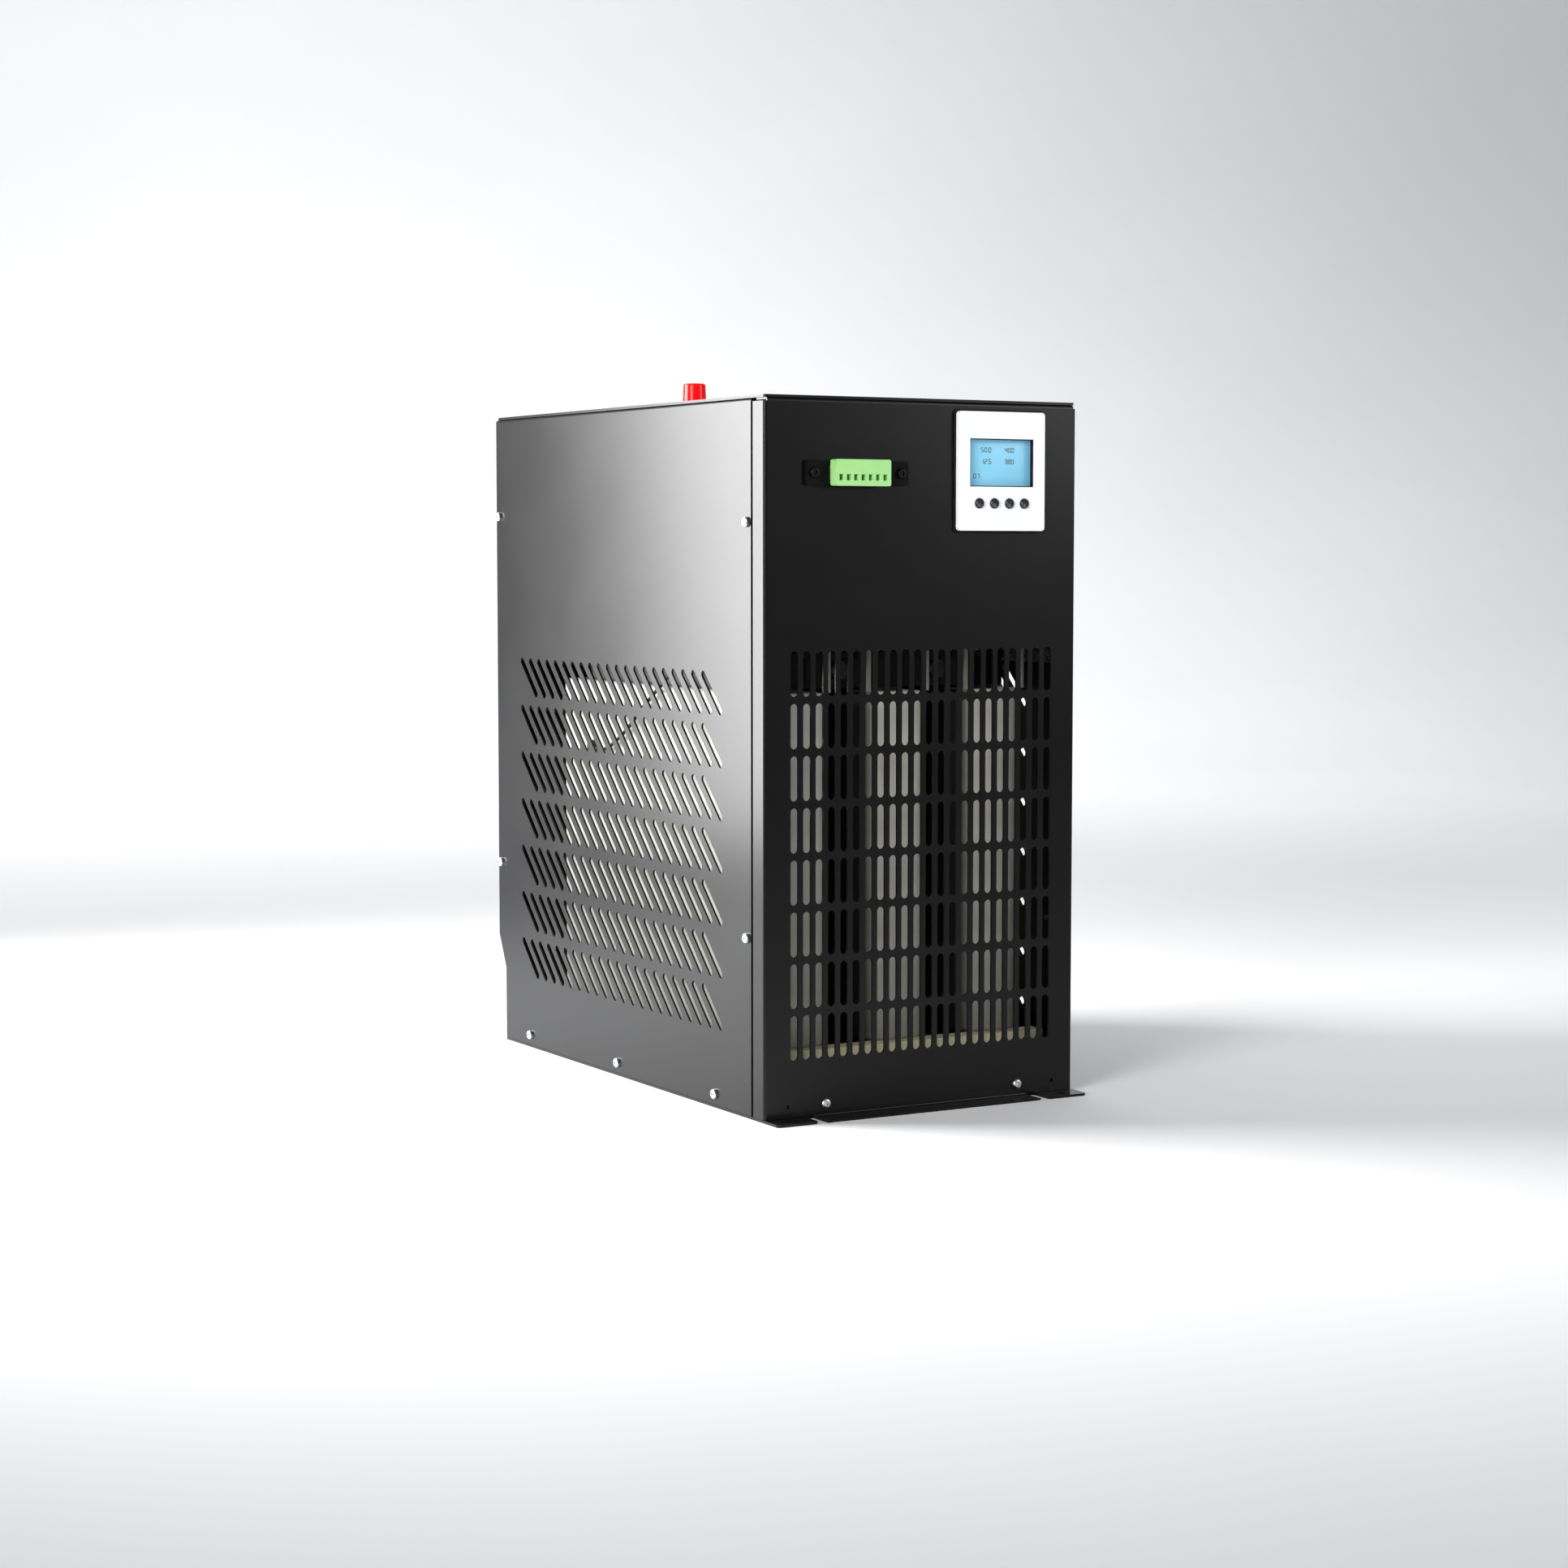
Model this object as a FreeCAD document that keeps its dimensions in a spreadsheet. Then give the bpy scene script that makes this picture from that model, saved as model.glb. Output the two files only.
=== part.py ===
import FreeCAD, Part
import math
import os
import Sketcher
from FreeCAD import Placement, Rotation, Vector

# Cabinet inverter with a three-phase filter reactor, all sizes in millimetres.
# Frame: origin at the centre of the base plate's underside, +Z up, the front panel faces -Y, +X to the right
# of someone who looks at the front.

# ---------------------------------------------------------------------------------------------------------
# Driving dimensions
# ---------------------------------------------------------------------------------------------------------

SIZES = {
    # Sheet-metal case, without its forward feet
    "case_width": 206,
    "case_depth": 350,
    "case_height": 400,
    "skin": 1.2,
    "base_thick": 1.5,
    "cover_thick": 1.5,
    "cover_inset": 0.6,
    "bend": 0.8,                # inside radius of every bend
    "flange": 12,               # width of the return flanges under the cover
    "lap": 3,                   # straight run of a folded strip before its bend
    "fit_gap": 0.2,             # air between sheets that only stand side by side
    "front_return": 12.7,
    "seam": 2.2,                # open joint between the front panel's return and the side panel
    # Feet that reach forward from the case
    "ear_reach": 15,
    "ear_width": 26,
    "tab_gap": 6,
    "foot_corner": 2,
    "foot_hole": 5.2,
    # Step at the foot of the rear edge
    "notch_step": 10,
    "notch_low": 47,
    "notch_high": 68,
    # Chassis inside the case
    "rail_height": 16,
    "rail_foot": 8,
    "rail_gap": 2,
    "rail_rear_gap": 6,
    "post_front_leg": 14,
    "post_side_leg": 27,
    "shelf_level": 266,
    "shelf_flange": 16,
    "shelf_lap": 6,
    "shelf_slot_long": 36,
    "shelf_slot_wide": 8,
    "shelf_slot_pitch": 24,
    "shelf_slot_step": 60,
    "shelf_slot_columns": 7,
    "shelf_slot_rows": 3,
    # Front grille: upright round-ended slots
    "grille_columns": 22,
    "grille_rows": 8,
    "grille_pitch": 8,
    "grille_step": 28.8,
    "grille_wide": 4.8,
    "grille_long": 25,
    "grille_bottom": 33.5,
    # Side vents: leaning round-ended slots
    "vent_columns": 21,
    "vent_rows": 7,
    "vent_pitch": 12.1,
    "vent_step": 29.7,
    "vent_wide": 4.2,
    "vent_rise": 24.5,
    "vent_lean": 45,
    "vent_bottom": 45,
    "vent_middle": 6.4,
    # Pan-head screws and their places
    "screw_thread": 3,
    "screw_length": 6,
    "screw_head": 5.8,
    "screw_head_tall": 2.2,
    "screw_head_round": 1.3,
    "screw_hole": 3.4,
    "recess_long": 3.2,
    "recess_wide": 0.8,
    "recess_deep": 1.2,
    "base_screw_level": 8,
    "base_screw_middle": 5,
    "base_screw_pitch": 123,
    "front_screw_pitch": 128,
    "spare_hole_pitch": 177,
    "spare_hole": 2.5,
    "edge_screw_inset": 4.5,
    "rear_screw_low": 115,
    "rear_screw_high": 337,
    "post_screw_low": 101,
    "post_screw_high": 331,
    "cover_screw_inset": 7,
    "cover_screw_end": 60,
    "cover_screw_head": 6,
    # Display unit
    "display_across": 49.5,
    "display_level": 360,
    "bezel_wide": 58.4,
    "bezel_tall": 67,
    "bezel_thick": 2.7,
    "bezel_corner": 2,
    "bezel_margin": 3,
    "gasket_border": 1.2,
    "gasket_thick": 1,
    "rim_wall": 1.5,
    "rim_depth": 11,
    "window_wide": 43,
    "window_tall": 27,
    "window_rise": 4.8,
    "lens_border": 1.5,
    "lens_thick": 1.2,
    "glass_border": 2,
    "glass_thick": 3,
    "board_thick": 1.6,
    "button_size": 5.6,
    "button_gap": 0.2,
    "button_pitch": 10.16,
    "button_drop": 18.1,
    "button_proud": 1.2,
    "button_travel": 0.7,
    "button_collar": 7,
    "button_collar_thick": 1,
    "switch_size": 6,
    "switch_tall": 3,
    "plunger_size": 3,
    "plunger_tall": 0.8,
    # Pluggable signal terminal
    "terminal_across": -45,
    "terminal_level": 358,
    "terminal_ways": 7,
    "terminal_pitch": 4.7,
    "header_flange_wide": 65.4,
    "header_flange_tall": 13.5,
    "header_flange_thick": 2.5,
    "header_body_wide": 39,
    "header_body_tall": 11.5,
    "header_depth": 17,
    "header_wall": 1.4,
    "header_floor": 3,
    "header_screw_pitch": 56,
    "pin_size": 1,
    "pin_reach": 5,
    "plug_wide": 35.6,
    "plug_tall": 14.5,
    "plug_proud": 8.5,
    "plug_nose_inset": 0.4,
    "plug_nose_gap": 1.5,
    "plug_corner": 1.2,
    "funnel_wide": 2.6,
    "funnel_tall": 3.4,
    "funnel_deep": 6,
    "funnel_drop": 2.6,
    "clamp_screw": 3,
    "clamp_screw_deep": 4,
    "clamp_screw_sunk": 0.8,
    # Pilot lamp on the cover
    "lamp_back": 98,
    "lamp_rim": 20,
    "lamp_rim_tall": 3,
    "lamp_neck": 12,
    "lamp_neck_long": 24,
    "lamp_nut_across": 17,
    "lamp_nut_tall": 4,
    "lens_low": 15.6,
    "lens_high": 14,
    "lens_tall": 18,
    "lens_round": 1.5,
    # Three-phase reactor
    "reactor_back": -16,
    "coil_pitch": 65.5,
    "coil_wide": 44,
    "coil_deep": 272,
    "coil_build": 10,
    "coil_round": 14,
    "coil_low": 35.5,
    "coil_high": 235.5,
    "leg_gap": 2,
    "core_end_gap": 12,
    "yoke_tall": 20,
    "yoke_gap": 2,
    "clamp_thick": 3,
    "clamp_foot": 9,
    "clamp_overhang": 5,
    "tie_rod": 6,
    "tie_nut_across": 10,
    "tie_nut_tall": 5,
    "support_bar_deep": 12,
    "lead_size": 3,
    "lead_inset": 2.5,
    "lead_grommet": 8,
    "lead_rise": 10,
    "strip_deep": 16,
    "strip_tall": 22,
    "strip_end": 6,
    # Thermal switch on the left coil and its cable
    "switch_back": 66,
    "switch_level": 194,
    "switch_wide": 8,
    "switch_high": 10,
    "switch_thick": 3.2,
    "switch_corner": 1,
    "cable_size": 2.2,
    "cable_clear": 2,
    "cable_hole_back": -52,
    # Power stage on the shelf
    "fin_pitch": 10,
    "fin_thick": 3,
    "fin_gaps": 14,
    "fin_tall": 34,
    "sink_base": 8,
    "sink_deep": 200,
    "sink_back": 40,
    "module_wide": 34,
    "module_deep": 94,
    "module_tall": 12,
    "module_lid_inset": 4,
    "module_lid_tall": 5,
    "module_pitch": 46,
    "power_board_wide": 150,
    "power_board_deep": 170,
    "power_board_lift": 8,
    "standoff_size": 6,
    "standoff_inset": 8,
    "capacitor_size": 30,
    "capacitor_tall": 42,
    "capacitor_pitch": 36,
    "capacitor_inset": 20,
    "control_board_wide": 96,
    "control_board_tall": 88,
    "control_board_level": 300,
    "control_standoff_inset": 10,
    "control_standoff_size": 5,
    # Fan behind the rear panel
    "fan_size": 120,
    "fan_deep": 25,
    "fan_level": 331,
    "fan_bore": 115,
    "fan_hub": 38,
    "fan_blades": 7,
    "fan_blade_reach": 54,
    "fan_blade_thick": 1.6,
    "fan_blade_chord": 9,
    "fan_strut": 6,
    "fan_strut_lap": 1,
    "fan_corner": 3,
    "fan_shaft": 6,
    "fan_running_gap": 0.05,
    "fan_end_gap": 1,
    "fan_plate": 4,
    "fan_screw_pitch": 105,
    "fan_slot_wide": 6,
    "fan_slot_long": 30,
    "fan_slot_pitch": 11,
    "fan_slot_step": 35,
    "fan_slot_columns": 9,
    "fan_slot_rows": 3,
    "rear_return": 18,
    # Rear connections
    "dc_pitch": 40,
    "dc_level": 205,
    "dc_neck": 14,
    "dc_rim": 20,
    "dc_rim_thick": 3,
    "dc_reach": 20,
    "dc_inside": 14,
    "dc_groove": 11,
    "dc_core": 7,
    "dc_groove_deep": 1.5,
    "ac_level": 120,
    "ac_wide": 70,
    "ac_tall": 24,
    "ac_reach": 12,
    "ac_inside": 18,
    "ac_flange": 5,
    "ac_flange_thick": 2,
    "ac_ways": 5,
    "ac_pitch": 12,
    "ac_funnel": 3.8,
    "ac_funnel_drop": 4.8,
    "ac_funnel_deep": 10,
    "earth_across": 80,
    "earth_level": 30,
    "earth_stud": 6,
    "earth_reach": 14,
    "earth_inside": 10,
    "earth_nut_across": 10,
    "earth_nut_tall": 5,
}

doc = FreeCAD.newDocument("cabinet_inverter")
sheet = doc.addObject("Spreadsheet::Sheet", "size")
for row, (name, number) in enumerate(SIZES.items(), start=1):
    sheet.set("B%d" % row, str(number))
    sheet.setAlias("B%d" % row, name)
doc.recompute()

# Planes that several pieces share, as expressions on the sheet
HALF = "(size.case_width / 2)"
INNER = "(size.case_width / 2 - size.skin)"
CORE = "(size.case_width / 2 - 2 * size.skin)"
FRONT = "(-size.case_depth / 2)"
BEHIND = "(size.skin - size.case_depth / 2)"
REAR = "(size.case_depth / 2)"
BEFORE_REAR = "(size.case_depth / 2 - size.skin)"
TOP = "(size.case_height - size.cover_thick)"
FOOT = "(size.base_thick + size.fit_gap)"
FOLD = "(size.bend + size.skin)"
SIDE_FRONT = "(size.front_return + size.seam - size.case_depth / 2)"
BELOW_FOLDS = "(size.case_height - size.cover_thick - size.bend - size.skin - size.fit_gap)"


# ---------------------------------------------------------------------------------------------------------
# Sketch outlines: each returns a function that draws it, held by expressions, in a sketch
# ---------------------------------------------------------------------------------------------------------

def value(expression):
    """Number that an expression on the sheet comes to."""
    return float(sheet.evalExpression(str(expression)))


def hold(sketch, geometry, vertex, x, y):
    """Hold one point of the sketch at x and y from the sketch's origin."""
    for kind, expression in (("DistanceX", x), ("DistanceY", y)):
        rule = Sketcher.Constraint(kind, -1, 1, geometry, vertex, value(expression))
        index = sketch.addConstraint(rule)
        sketch.setExpression("Constraints[%d]" % index, str(expression))


def join(sketch, first, first_end, second, second_end):
    """Make two ends meet."""
    sketch.addConstraint(Sketcher.Constraint("Coincident", first, first_end, second, second_end))


def hold_radius(sketch, geometry, radius):
    """Bind the radius of an arc or a circle."""
    index = sketch.addConstraint(Sketcher.Constraint("Radius", geometry, value(radius)))
    sketch.setExpression("Constraints[%d]" % index, str(radius))


def add_line(sketch, start, end):
    """Line between two places given as expressions."""
    ends = [Vector(value(x), value(y), 0) for x, y in (start, end)]
    return sketch.addGeometry(Part.LineSegment(*ends))


def add_arc(sketch, centre, start, end):
    """Arc that runs the left-hand way round its centre from start to end, places given as numbers."""
    radius = math.dist(centre, start)
    angles = [math.atan2(y - centre[1], x - centre[0]) for x, y in (start, end)]
    if angles[1] <= angles[0]:
        angles[1] += 2 * math.pi
    circle_line = Part.Circle(Vector(centre[0], centre[1], 0), Vector(0, 0, 1), radius)
    return sketch.addGeometry(Part.ArcOfCircle(circle_line, *angles))


def step_towards(start, end):
    """Signs of the way from one corner to the next one, which lies straight across or straight up."""
    gaps = [there - here for here, there in zip(start, end)]
    return [0 if abs(gap) < 1e-6 else int(math.copysign(1, gap)) for gap in gaps]


def outline(*corners):
    """Closed outline. A third value on a square corner rounds it to that radius."""
    def draw(sketch):
        numbers = [(value(corner[0]), value(corner[1])) for corner in corners]
        count = len(corners)
        arrivals = []
        departures = []
        for k, corner in enumerate(corners):
            x, y = corner[0], corner[1]
            ends = []
            for neighbour in (k - 1, (k + 1) % count):
                if len(corner) == 3:
                    way = step_towards(numbers[k], numbers[neighbour])
                    ends.append(["(%s) + %d * (%s)" % (place, sign, corner[2])
                                 for place, sign in zip((x, y), way)])
                else:
                    ends.append([x, y])
            arrivals.append(ends[0])
            departures.append(ends[1])
        lines = [add_line(sketch, departures[k], arrivals[(k + 1) % count]) for k in range(count)]
        for k, corner in enumerate(corners):
            hold(sketch, lines[k], 1, *departures[k])
            if len(corner) == 2:
                join(sketch, lines[k - 1], 2, lines[k], 1)
                continue
            hold(sketch, lines[k - 1], 2, *arrivals[k])
            start = [value(place) for place in arrivals[k]]
            end = [value(place) for place in departures[k]]
            centre = [a + b - c for a, b, c in zip(start, end, numbers[k])]
            turn = ((start[0] - centre[0]) * (end[1] - centre[1])
                    - (start[1] - centre[1]) * (end[0] - centre[0]))
            if turn > 0:
                arc = add_arc(sketch, centre, start, end)
                join(sketch, lines[k - 1], 2, arc, 1)
                join(sketch, lines[k], 1, arc, 2)
            else:
                arc = add_arc(sketch, centre, end, start)
                join(sketch, lines[k - 1], 2, arc, 2)
                join(sketch, lines[k], 1, arc, 1)
            hold_radius(sketch, arc, corner[2])
    return draw


def rectangle(left, low, right, high, corner=None):
    """Rectangle between two corners, with square or rounded corners."""
    tail = () if corner is None else (corner,)
    return outline((left, low) + tail, (right, low) + tail, (right, high) + tail, (left, high) + tail)


def centred(x, y, wide, tall, corner=None):
    """Rectangle about a centre."""
    return rectangle("%s - (%s) / 2" % (x, wide), "%s - (%s) / 2" % (y, tall),
                     "%s + (%s) / 2" % (x, wide), "%s + (%s) / 2" % (y, tall), corner)


def circle(x, y, diameter):
    """Circle about a centre."""
    def draw(sketch):
        ring = sketch.addGeometry(Part.Circle(Vector(value(x), value(y), 0), Vector(0, 0, 1),
                                              value(diameter) / 2))
        hold(sketch, ring, 3, x, y)
        hold_radius(sketch, ring, "(%s) / 2" % diameter)
    return draw


def hexagon(x, y, across):
    """Regular hexagon with two corners on the line through its centre."""
    reach = "(%s) / sqrt(3)" % across
    return outline(*[("%s + %s * cos(%d)" % (x, reach, 60 * k), "%s + %s * sin(%d)" % (y, reach, 60 * k))
                     for k in range(6)])


def slot(x, y, length, wide, lean="0"):
    """Round-ended slot about a centre. It stands upright, or leans over by an angle in degrees."""
    def place(along, across):
        ahead = "%d * (%s - %s) / 2" % (along, length, wide)
        aside = "%d * (%s) / 2" % (across, wide)
        return ("%s + %s * sin(%s) + %s * cos(%s)" % (x, ahead, lean, aside, lean),
                "%s + %s * cos(%s) - %s * sin(%s)" % (y, ahead, lean, aside, lean))

    def draw(sketch):
        right = add_line(sketch, place(1, 1), place(-1, 1))
        left = add_line(sketch, place(-1, -1), place(1, -1))
        for line, ends in ((right, (place(1, 1), place(-1, 1))), (left, (place(-1, -1), place(1, -1)))):
            hold(sketch, line, 1, *ends[0])
            hold(sketch, line, 2, *ends[1])
        for along, first, second in ((1, (right, 1), (left, 2)), (-1, (left, 1), (right, 2))):
            centre, start, end = [[value(item) for item in place(along, side)]
                                  for side in (0, along, -along)]
            arc = add_arc(sketch, centre, start, end)
            join(sketch, arc, 1, *first)
            join(sketch, arc, 2, *second)
            level = sketch.addConstraint(Sketcher.Constraint("DistanceY", -1, 1, arc, 3, centre[1]))
            sketch.setExpression("Constraints[%d]" % level, place(along, 0)[1])
    return draw


# ---------------------------------------------------------------------------------------------------------
# Features and pieces
# ---------------------------------------------------------------------------------------------------------

pieces = []


def new_body(label, x="0", y="0", z="0", rotation=Rotation(), kept=True):
    """PartDesign body at a place; a kept one is a piece of its own."""
    body = doc.addObject("PartDesign::Body", label)
    body.Placement = Placement(Vector(), rotation)
    for axis, expression in zip("xyz", (x, y, z)):
        body.setExpression("Placement.Base." + axis, expression)
    if kept:
        pieces.append(body)
    return body


def extrude(body, kind, name, plane, low, high, shapes):
    """Pad or Pocket of the outlines, from low to high along the axis square to the plane."""
    starts_low = (kind == "Pad") == (plane != "XZ")
    level = low if starts_low else high
    sketch = body.newObject("Sketcher::SketchObject", "%s_%s_sketch" % (body.Name, name))
    support = [item for item in body.Origin.OriginFeatures if item.Role == plane + "_Plane"][0]
    sketch.AttachmentSupport = [(support, "")]
    sketch.MapMode = "FlatFace"
    sketch.setExpression("AttachmentOffset.Base.z", ("-(%s)" if plane == "XZ" else "%s") % level)
    for draw in shapes:
        draw(sketch)
    before = body.Shape.Volume if kind == "Pocket" else 0
    feature = body.newObject("PartDesign::" + kind, "%s_%s" % (body.Name, name))
    feature.Profile = sketch
    feature.setExpression("Length", "(%s) - (%s)" % (high, low))
    doc.recompute()
    if kind == "Pocket" and not body.Shape.Volume < before:
        raise ValueError("%s of %s cuts nothing" % (name, body.Label))
    return feature


def pad(body, name, plane, low, high, *shapes):
    """Add the outlines between two levels."""
    return extrude(body, "Pad", name, plane, low, high, shapes)


def pocket(body, name, plane, low, high, *shapes):
    """Cut the outlines out between two levels."""
    return extrude(body, "Pocket", name, plane, low, high, shapes)


def grid(body, feature, columns, pitch, rows=None, step=None):
    """Repeat a feature along its sketch's first axis and, if asked, up its second."""
    pattern = body.newObject("PartDesign::LinearPattern", feature.Name + "_grid")
    pattern.Originals = [feature]
    sketch = feature.Profile[0]
    pattern.Direction = (sketch, ["H_Axis"])
    pattern.Mode = "Extent"
    pattern.setExpression("Length", "(%s - 1) * (%s)" % (columns, pitch))
    pattern.setExpression("Occurrences", columns)
    if rows is not None:
        pattern.Direction2 = (sketch, ["V_Axis"])
        pattern.Mode2 = "Extent"
        pattern.setExpression("Length2", "(%s - 1) * (%s)" % (rows, step))
        pattern.setExpression("Occurrences2", rows)
    body.Tip = pattern
    doc.recompute()
    return pattern


def round_edges(body, radius, *middles):
    """Fillet those edges of the body whose middles are at the given places in the body's own frame."""
    base = body.Tip
    targets = [Vector(*[value(item) for item in middle]) for middle in middles]
    names = ["Edge%d" % index for index, edge in enumerate(base.Shape.Edges, start=1)
             if any((edge.CenterOfMass - target).Length < 0.02 for target in targets)]
    fillet = body.newObject("PartDesign::Fillet", "%s_round" % body.Name)
    fillet.Base = (base, names)
    fillet.setExpression("Radius", radius)
    doc.recompute()
    return fillet


TURNS = {
    "up": Rotation(),
    "down": Rotation(Vector(1, 0, 0), 180),
    "front": Rotation(Vector(1, 0, 0), 90),
    "rear": Rotation(Vector(1, 0, 0), -90),
    "left": Rotation(Vector(0, 1, 0), -90),
    "right": Rotation(Vector(0, 1, 0), 90),
}


def copies(label, pattern_piece, facing, places):
    """One node that holds a separate copy of a piece at each place, with its +Z turned to face one way."""
    links = []
    for index, place in enumerate(places, start=1):
        link = doc.addObject("App::Link", "%s_copy_%d" % (label, index))
        link.LinkedObject = pattern_piece
        link.Placement = Placement(Vector(), TURNS[facing])
        for axis, expression in zip("xyz", place):
            link.setExpression("Placement.Base." + axis, expression)
        links.append(link)
    return links


def group(label, links):
    """One node made of separate solids."""
    compound = doc.addObject("Part::Compound", label)
    compound.Links = links
    pieces.append(compound)
    return compound


# ---------------------------------------------------------------------------------------------------------
# Chassis: base plate with forward ears, rails, front posts and the shelf over the reactor bay
# ---------------------------------------------------------------------------------------------------------

EAR_INNER = "(%s - size.ear_width)" % HALF
BASE_REAR = "(size.case_depth / 2 - size.notch_step)"

base_plate = new_body("base_plate")
pad(base_plate, "sheet", "XY", "0", "size.base_thick",
    rectangle("-" + HALF, BEHIND + " + size.fit_gap", HALF, BASE_REAR))
for word, side in (("left", -1), ("right", 1)):
    centre = "%d * (%s - size.ear_width / 2)" % (side, HALF)
    pad(base_plate, word + "_ear", "XY", "0", "size.base_thick",
        outline((centre + " - size.ear_width / 2", BEHIND + " + size.lap"),
                (centre + " - size.ear_width / 2", FRONT + " - size.ear_reach", "size.foot_corner"),
                (centre + " + size.ear_width / 2", FRONT + " - size.ear_reach", "size.foot_corner"),
                (centre + " + size.ear_width / 2", BEHIND + " + size.lap")))
    pocket(base_plate, word + "_foot_hole", "XY", "0", "size.base_thick",
           circle(centre, FRONT + " - size.ear_reach / 2", "size.foot_hole"))

RAIL_TOP = "(size.base_thick + size.rail_height)"
RAIL_FOOT_TOP = "(size.base_thick + size.skin)"
POST_END = "(%s + size.post_side_leg)" % BEHIND
THREAD = "size.screw_thread"

for word, side in (("left", -1), ("right", 1)):
    rail = new_body("base_rail_" + word)
    wall = "%d * %s" % (side, INNER)
    ends = (POST_END + " + size.rail_gap", BASE_REAR + " - size.rail_rear_gap")
    pad(rail, "angle", "XZ", *ends,
        outline((wall, "size.base_thick"), (wall, RAIL_TOP),
                ("%s - %d * size.skin" % (wall, side), RAIL_TOP),
                ("%s - %d * size.skin" % (wall, side), RAIL_FOOT_TOP, "size.bend"),
                ("%s - %d * size.rail_foot" % (wall, side), RAIL_FOOT_TOP),
                ("%s - %d * size.rail_foot" % (wall, side), "size.base_thick")))
    low, high = ("-" + INNER, "-" + CORE) if side < 0 else (CORE, INNER)
    pocket(rail, "screw_holes", "YZ", low, high,
           *[circle("size.base_screw_middle + %d * size.base_screw_pitch" % k, "size.base_screw_level",
                    THREAD) for k in (-1, 0, 1)])

RAIL_END = "(%s - size.post_front_leg - size.rail_gap)" % INNER
for word, face, inward in (("front", BEHIND, "+"), ("rear", "(%s - size.skin)" % BASE_REAR, "-")):
    rail = new_body("base_rail_" + word)
    pad(rail, "angle", "YZ", "-" + RAIL_END, RAIL_END,
        outline((face, "size.base_thick"), (face, RAIL_TOP),
                ("%s %s size.skin" % (face, inward), RAIL_TOP),
                ("%s %s size.skin" % (face, inward), RAIL_FOOT_TOP, "size.bend"),
                ("%s %s size.rail_foot" % (face, inward), RAIL_FOOT_TOP),
                ("%s %s size.rail_foot" % (face, inward), "size.base_thick")))
    if word == "front":
        pocket(rail, "screw_holes", "XZ", face, face + " + size.skin",
               *[circle("%d * size.front_screw_pitch / 2" % k, "size.base_screw_level", THREAD)
                 for k in (-1, 1)])

EDGE_SCREW_FRONT = "(%s + size.edge_screw_inset)" % SIDE_FRONT
EDGE_SCREW_REAR = "(%s - size.edge_screw_inset)" % REAR

for word, side in (("left", -1), ("right", 1)):
    post = new_body("post_front_" + word)
    wall = "%d * %s" % (side, INNER)
    pad(post, "angle", "XY", "size.base_thick", BELOW_FOLDS,
        outline((wall, BEHIND, FOLD), (wall, POST_END),
                ("%s - %d * size.skin" % (wall, side), POST_END),
                ("%s - %d * size.skin" % (wall, side), BEHIND + " + size.skin", "size.bend"),
                ("%s - %d * size.post_front_leg" % (wall, side), BEHIND + " + size.skin"),
                ("%s - %d * size.post_front_leg" % (wall, side), BEHIND)))
    low, high = ("-" + INNER, "-" + CORE) if side < 0 else (CORE, INNER)
    pocket(post, "screw_holes", "YZ", low, high,
           circle(EDGE_SCREW_FRONT, "size.post_screw_low", THREAD),
           circle(EDGE_SCREW_FRONT, "size.post_screw_high", THREAD))

LEADS = ["%d * size.coil_pitch + %d * (size.coil_wide / 2 - size.lead_inset)" % (k, side)
         for k in (-1, 0, 1) for side in (-1, 1)]
COIL_FRONT = "(size.reactor_back - size.coil_deep / 2)"
LEAD_BACK = "(%s + size.coil_build / 2)" % COIL_FRONT
SHELF_UNDER = "(size.shelf_level - size.skin)"
SHELF_FRONT = "(%s + %s + size.fit_gap)" % (BEHIND, FOLD)
CABLE_ACROSS = "(-size.coil_pitch - size.coil_wide / 2 - size.cable_clear)"

mid_shelf = new_body("mid_shelf")
pad(mid_shelf, "sheet", "XY", SHELF_UNDER, "size.shelf_level",
    rectangle("-" + CORE, SHELF_FRONT, CORE, BEFORE_REAR))
for word, side in (("left", -1), ("right", 1)):
    wall = "%d * %s" % (side, CORE)
    pad(mid_shelf, word + "_flange", "XZ", SHELF_FRONT, BEFORE_REAR,
        outline((wall + " - %d * size.shelf_lap" % side, "size.shelf_level"),
                (wall, "size.shelf_level", FOLD),
                (wall, "size.shelf_level - size.shelf_flange"),
                (wall + " - %d * size.skin" % side, "size.shelf_level - size.shelf_flange"),
                (wall + " - %d * size.skin" % side, SHELF_UNDER, "size.bend"),
                (wall + " - %d * size.shelf_lap" % side, SHELF_UNDER)))
pad(mid_shelf, "rear_flange", "YZ", "-%s + size.shelf_lap" % CORE, CORE + " - size.shelf_lap",
    outline((BEFORE_REAR + " - size.skin", "size.shelf_level - size.shelf_flange"),
            (BEFORE_REAR, "size.shelf_level - size.shelf_flange"),
            (BEFORE_REAR, "size.shelf_level"), (BEFORE_REAR + " - size.skin", "size.shelf_level")))
pocket(mid_shelf, "corner_relief", "XY", "size.shelf_level - size.shelf_flange", "size.shelf_level",
       *[rectangle("%d * %s - size.lap" % (side, CORE), REAR + " - size.rear_return - size.lap",
                   "%d * %s + size.lap" % (side, CORE), REAR) for side in (-1, 1)])
pocket(mid_shelf, "lead_holes", "XY", SHELF_UNDER, "size.shelf_level",
       *[circle(lead, LEAD_BACK, "size.lead_grommet") for lead in LEADS],
       circle(CABLE_ACROSS, "size.cable_hole_back", "size.lead_grommet"))
air_slot = pocket(mid_shelf, "air_slot", "XY", SHELF_UNDER, "size.shelf_level",
                  slot("-size.shelf_slot_pitch * (size.shelf_slot_columns - 1) / 2",
                       "size.reactor_back - size.shelf_slot_step * (size.shelf_slot_rows - 1) / 2",
                       "size.shelf_slot_long", "size.shelf_slot_wide"))
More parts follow.
